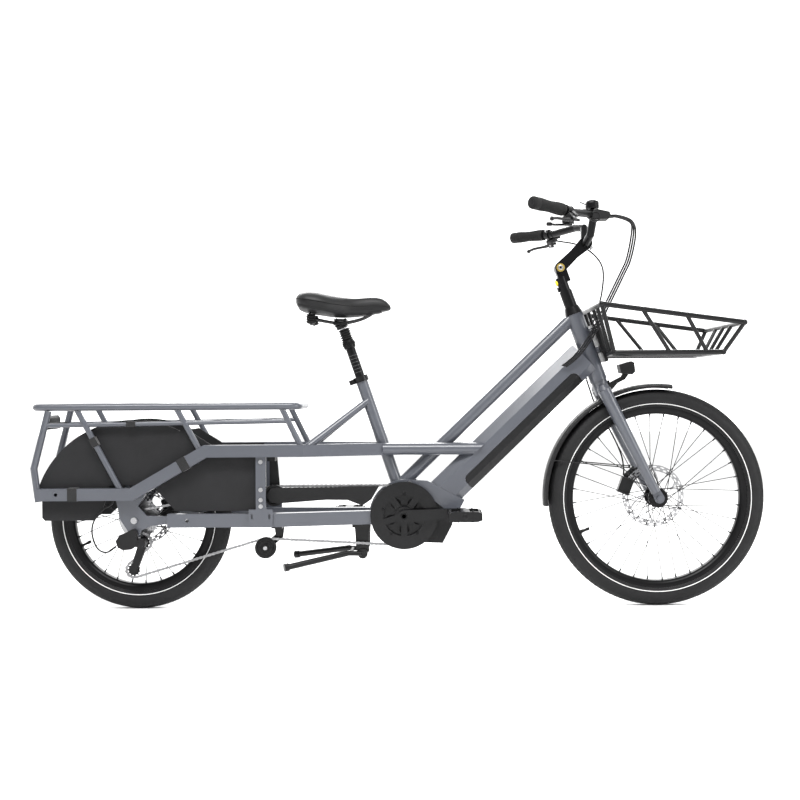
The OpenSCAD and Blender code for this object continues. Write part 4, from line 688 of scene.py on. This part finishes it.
def at_grip(along, drop=0):
    return (Matrix.Translation(LAST + GRIP * along) @ Matrix.Rotation(turn_z, 4, "Z")
            @ Matrix.Rotation(-rise, 4, "Y") @ Matrix.Rotation(math.radians(drop), 4, "X"))


def both(shape):
    s = Shape()
    s.add(shape.v, shape.f)
    m = shape.mirrored()
    return s.add(m.v, m.f)


g = Shape()
pro = [(0, 11.4), (0, 16.2), (1.5, 17), (8, 17), (9.5, 15.9)]
for k in range(22):
    h = 11 + k * 4.3
    r = 15.4 + 0.9 * math.cos(k / 21 * math.pi * 2)
    pro += [(h, r), (h + 0.7, r + 0.9), (h + 2.6, r + 0.9), (h + 3.4, r)]
pro += [(108, 16), (112, 16.9), (122, 17.1), (126.5, 16.4), (128, 14), (128, 0.1)]
start = END - GRIP * 126
g.turn(start, GRIP, pro, 44)
both(g).make("grip_rubber", rubber, "bars", "grips", slot="rubber")
caps = Shape()
caps.turn(END + GRIP * 1.6, GRIP, [(0, 13.2), (1.1, 13.2), (1.6, 12.2), (1.6, 7), (0.8, 6), (0.8, 0.1)], 32)
both(caps).make("grip_caps", black_plastic, "bars")


def local(m, pts):
    return [m @ Vector(p) for p in pts]


m = at_grip(20, 48)
body = Shape()
axis_g = (m.to_3x3() @ Vector((1, 0, 0)))
body.turn(m @ Vector((-6, 0, 0)), axis_g,
          [(0, 11.4), (0, 14.4), (1.2, 15.5), (11.8, 15.5), (13, 14.4), (13, 11.4)], 36)
body.tube(local(m, [(-20, -15, 1), (-14, -20, 0.5), (4, -24, 0), (16, -28, 0)]), [6, 9.5, 10, 8], 18)
body.tube(local(m, [(-38, -13, 1), (-20, -15, 1)]), [4, 5.6], 14)
body.block(m, (-5, -44, 5.6), (15, -20, 9))
body.block(m, (-5, -44, -9), (15, -20, -5.6))
body.turn(m @ Vector((-8, -21, 8)), m.to_3x3() @ Vector((0, 0, 1)), [(0, 10), (3, 10), (4, 9), (4, 0.1)], 24)
both(body).make("brake_bodies", black_metal, "bars", "controls", bevel=0.8)
pin = Shape()
pin.turn(m @ Vector((6, -36, -9.4)), m.to_3x3() @ Vector((0, 0, 1)),
         [(0, 0.1), (0, 3.2), (0.8, 3.6), (18, 3.6), (18.8, 3.2), (18.8, 0.1)], 16)
pin.turn(m @ Vector((0, 13, -4.5)), m.to_3x3() @ Vector((0, 1, 0)), [(0, 3), (4, 3), (4, 0.1)], 12)
both(pin).make("brake_pins", steel, "bars")
blade = Shape()
path = curve(local(m, [(6, -36, 0), (20, -40, 0), (40, -44, 0), (62, -46, 0), (84, -48.5, 0), (104, -53.5, 0),
                       (110, -56, 0)]), 5)
blade.tube(path, [7.2 - 3.0 * min(1, i / 12) + (1.8 if i > len(path) - 5 else 0) for i in range(len(path))], 16,
           flat=0.8)
blade.turn(m @ Vector((6, -36, -5)), m.to_3x3() @ Vector((0, 0, 1)), [(0, 3.8), (0, 8), (10, 8), (10, 3.8)], 26,
           closed=True)
blade.turn(m @ Vector((110, -56, 0)) - axis_g * 5, axis_g,
           [(0, 0.1), (1, 3.6), (3, 5.4), (6, 6), (9, 5), (11, 2.8), (11.6, 0.1)], 20)
blade.make("brake_blade_left", black_metal, "brake_lever_left", "brake_lever_left", angle=60)
blade.mirrored().make("brake_blade_right", black_metal, "brake_lever_right", "brake_lever_right", angle=60)

m = at_grip(8)
axis_s = m.to_3x3() @ Vector((1, 0, 0))
up_s = m.to_3x3() @ Vector((0, 0, 1))
pod = Shape()
pod.turn(m @ Vector((-6, 0, 0)), axis_s, [(0, 11.4), (0, 14), (1.2, 15), (9.8, 15), (11, 14), (11, 11.4)], 36)
pod.turn(m @ Vector((-4, 6, -31)), up_s,
         [(0, 0.1), (0, 14), (2, 16.5), (15, 17), (17.5, 15), (18.4, 12), (18.4, 0.1)], 34)
pod.block(m, (-12, -14, -22), (2, 6, -9))
pod.tube(local(m, [(-18, -6, -20), (-34, -10, -21)]), [4.6, 3.4], 12)
pod.mirrored().make("shifter", black_plastic, "bars", bevel=0.7)
tab = Shape()
tab.turn(m @ Vector((-4, 6, -37)), up_s, [(0, 3.3), (0, 11), (1, 12), (4, 12), (5, 11), (5, 3.3)], 30, closed=True)
tab.tube(curve(local(m, [(-2, 12, -34.5), (8, 24, -34.5), (16, 38, -34), (24, 49, -32)]), 5), 5.0, 14, flat=0.6)
tab.turn(m @ Vector((24, 48, -37)), up_s, [(0, 0.1), (0, 7), (1.2, 8), (7.6, 8), (9, 6.6), (9, 0.1)], 24)
tab.mirrored().make("shift_tab", black_plastic, "shift_lever", "shift_lever")

# display on the right-hand rise of the bar and a plain bell beside it
dis = Shape()
dis.prism([(1284, 1094), (1290, 1118), (1300, 1122), (1336, 1114), (1339, 1106), (1334, 1094)], -128, -80)
dis.turn((1296, -130, 1101), Y, [(0, 12), (1, 15.5), (12, 15.5), (13, 12)], 32)
dis.make("display_case", black_plastic, "bars", bevel=2.0)
glass = Shape()
glass.add([(1303, -124, 1121.9), (1334, -124, 1115), (1334, -84, 1115), (1303, -84, 1121.9)], [(0, 1, 2, 3)])
glass.make("display_glass", screen, "bars")
bell = Shape()
bell.turn((1290, -110, 1118), (0, 0, 1),
          [(0, 6.5), (5, 6.5), (6, 10), (7, 18.2), (9, 19), (16, 19), (17, 18.2), (17.6, 18.2), (18.4, 19),
           (24, 18.6), (27, 17), (29.6, 13), (31.2, 8), (32, 0.1)], 44)
bell.make("bell", anodised, "bars", angle=28)
ring = Shape()
ring.tube(curve([(1276, -110, 1136), (1268, -110, 1138), (1262, -108, 1141), (1257, -105, 1143)], 4),
          [3, 2.6] + [2.2] * 11, 10, flat=0.6)
ring.make("bell_striker", black_metal, "bars")

# ---------------------------------------------------------------- stem
low = Vector((1485 - 38 * math.cos(math.radians(20)) - 371 * math.sin(math.radians(20)), 0,
              310.5 - 38 * math.sin(math.radians(20)) + 371 * math.cos(math.radians(20))))
STEER = Vector((-math.sin(math.radians(20)), 0, math.cos(math.radians(20))))
AHEAD = Vector((math.cos(math.radians(20)), 0, math.sin(math.radians(20))))
pivot = low + STEER * 344 + AHEAD * 8
s = Shape()
for side in (-1, 1):
    s.turn((pivot.x, side * 19.4, pivot.z), (0, side, 0),
           [(0, 7.4), (0, 12.6), (1.2, 12.2), (1.9, 11.4), (1.9, 8.2), (1.2, 7.4)], 36, closed=True)
s.make("stem_rings", gold, "bars")
s = Shape()
for side in (-1, 1):
    s.turn((pivot.x, side * 19.5, pivot.z), (0, side, 0),
           [(0, 7.2), (0.9, 7.2), (1.3, 6.4), (1.3, 3.2), (-0.6, 3), (-0.6, 0.1)], 24)
s.make("stem_bolts", steel, "bars")
s = Shape()
catch = low + STEER * 306 - AHEAD * 15.2
s.turn(catch, -AHEAD, [(-2, 8.2), (2.6, 8.2), (3.6, 7.2), (3.6, 0.1)], 28)
s.make("stem_catch", yellow, "fork")
s = Shape()
for y in (-14, 14):
    for dz in (-13, 13):
        s.turn((1285 + 17, y, 1042 + dz), (1, 0, 0),
               [(0, 4), (3, 4), (3.4, 3.4), (3.4, 2), (1.6, 1.8), (1.6, 0.1)], 16)
s.make("bar_clamp_bolts", steel, "bars")

# ---------------------------------------------------------------- rear light
lamp = Shape()
lamp.prism([(-266, 555), (-253, 556.8), (-247, 548), (-247, 518.5), (-260, 515)], -43.2, 43.2)
lamp.make("rear_lamp_housing", black_plastic, "frame", "rear_light", bevel=1.5)
lamp = Shape()
lamp.prism([(-268, 553.5), (-265, 554.4), (-261, 520), (-263, 517)], -39, 39)
lamp.make("rear_lamp_lens", red_lens, "frame", bevel=0.8)
bar = Shape()
bar.prism([(-244.7, 524), (-240.9, 524), (-240.9, 536), (-244.7, 536)], -85, 85)
for side in (-1, 1):
    bar.turn((-240.9, side * 76, 530), (1, 0, 0), [(-0.4, 4.6), (0, 4.6), (0.1, 4.2), (0.1, 0.1)], 18)
bar.make("rear_lamp_bar", black_metal, "frame", bevel=0.5)

lens = Shape()
lens.prism([(1414.6, 694.4), (1419.6, 692.3), (1420.6, 672.7), (1414.6, 670.6)], -19.8, 19.8)
lens.make("headlight_lens", white_lens, "fork", bevel=0.8)

# ---------------------------------------------------------------- cables from the bars
RUN = [(1338.3, 1104), (1362, 1104), (1399, 1089), (1418, 1060), (1406, 990), (1386, 945), (1342, 856), (1318, 806),
       (1286, 752), (1254, 712), (1222, 686)]
SWAY = [0, -8, -18, -10, 0, 0, 0, 0, 2, 4, 9]
AT_BARS = (-118, -104, -90)  # how far across each cable leaves the bars
LOOP, SPLIT, INLET = 2, 6, 9  # points where a cable leaves the bars, changes body and nears the frame
STEPS = 10


def at(p):
    return ((p[0] - MID) / 1000, p[1] / 1000, p[2] / 1000)


for k in range(3):
    pts = []
    for i, (x, z) in enumerate(RUN):
        if i <= LOOP:
            pts.append((x, AT_BARS[k], z))
        else:
            pts.append((x - 5.8 * k, -62 + SWAY[i], z + 1.5 * k))
    line = curve(pts, STEPS)
    cut = SPLIT * STEPS
    top, end = Shape().tube(line[:cut + 1], 2.45, 14), Shape().tube(line[cut:], 2.45, 14)
    stands = ("bar_cables",) if k == 0 else ()
    a = top.make("cable_upper_%d" % (k + 1), hose, "bars", *stands, ride=False)
    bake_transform(a)
    b = end.make("cable_lower_%d" % (k + 1), hose, "frame", ride=False)
    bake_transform(b)
    nose = Shape()
    nose.tube([line[0], line[0] + (line[1] - line[0]).normalized() * 14], [3.3, 2.9], 16)
    nose.make("cable_ferrule_%d" % (k + 1), anodised, "bars")
pts = [LAST + GRIP * 13.4 + Vector((13, 12.6, -20)), LAST - GRIP * 6 + Vector((13, 12.6, -21)), (1300, 140, 1052),
       (1346, 82, 990), (1343, 60, 908), (1320, 58, 830), (1300, 56, 760), (1289, 50, 700),
       Vector((low.x - 29.6, 40, low.z + 5.4))]
brake_hose = Shape().tube(curve(pts, 10), 2.4, 14).make("front_brake_hose", hose, "bars", ride=False)
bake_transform(brake_hose)
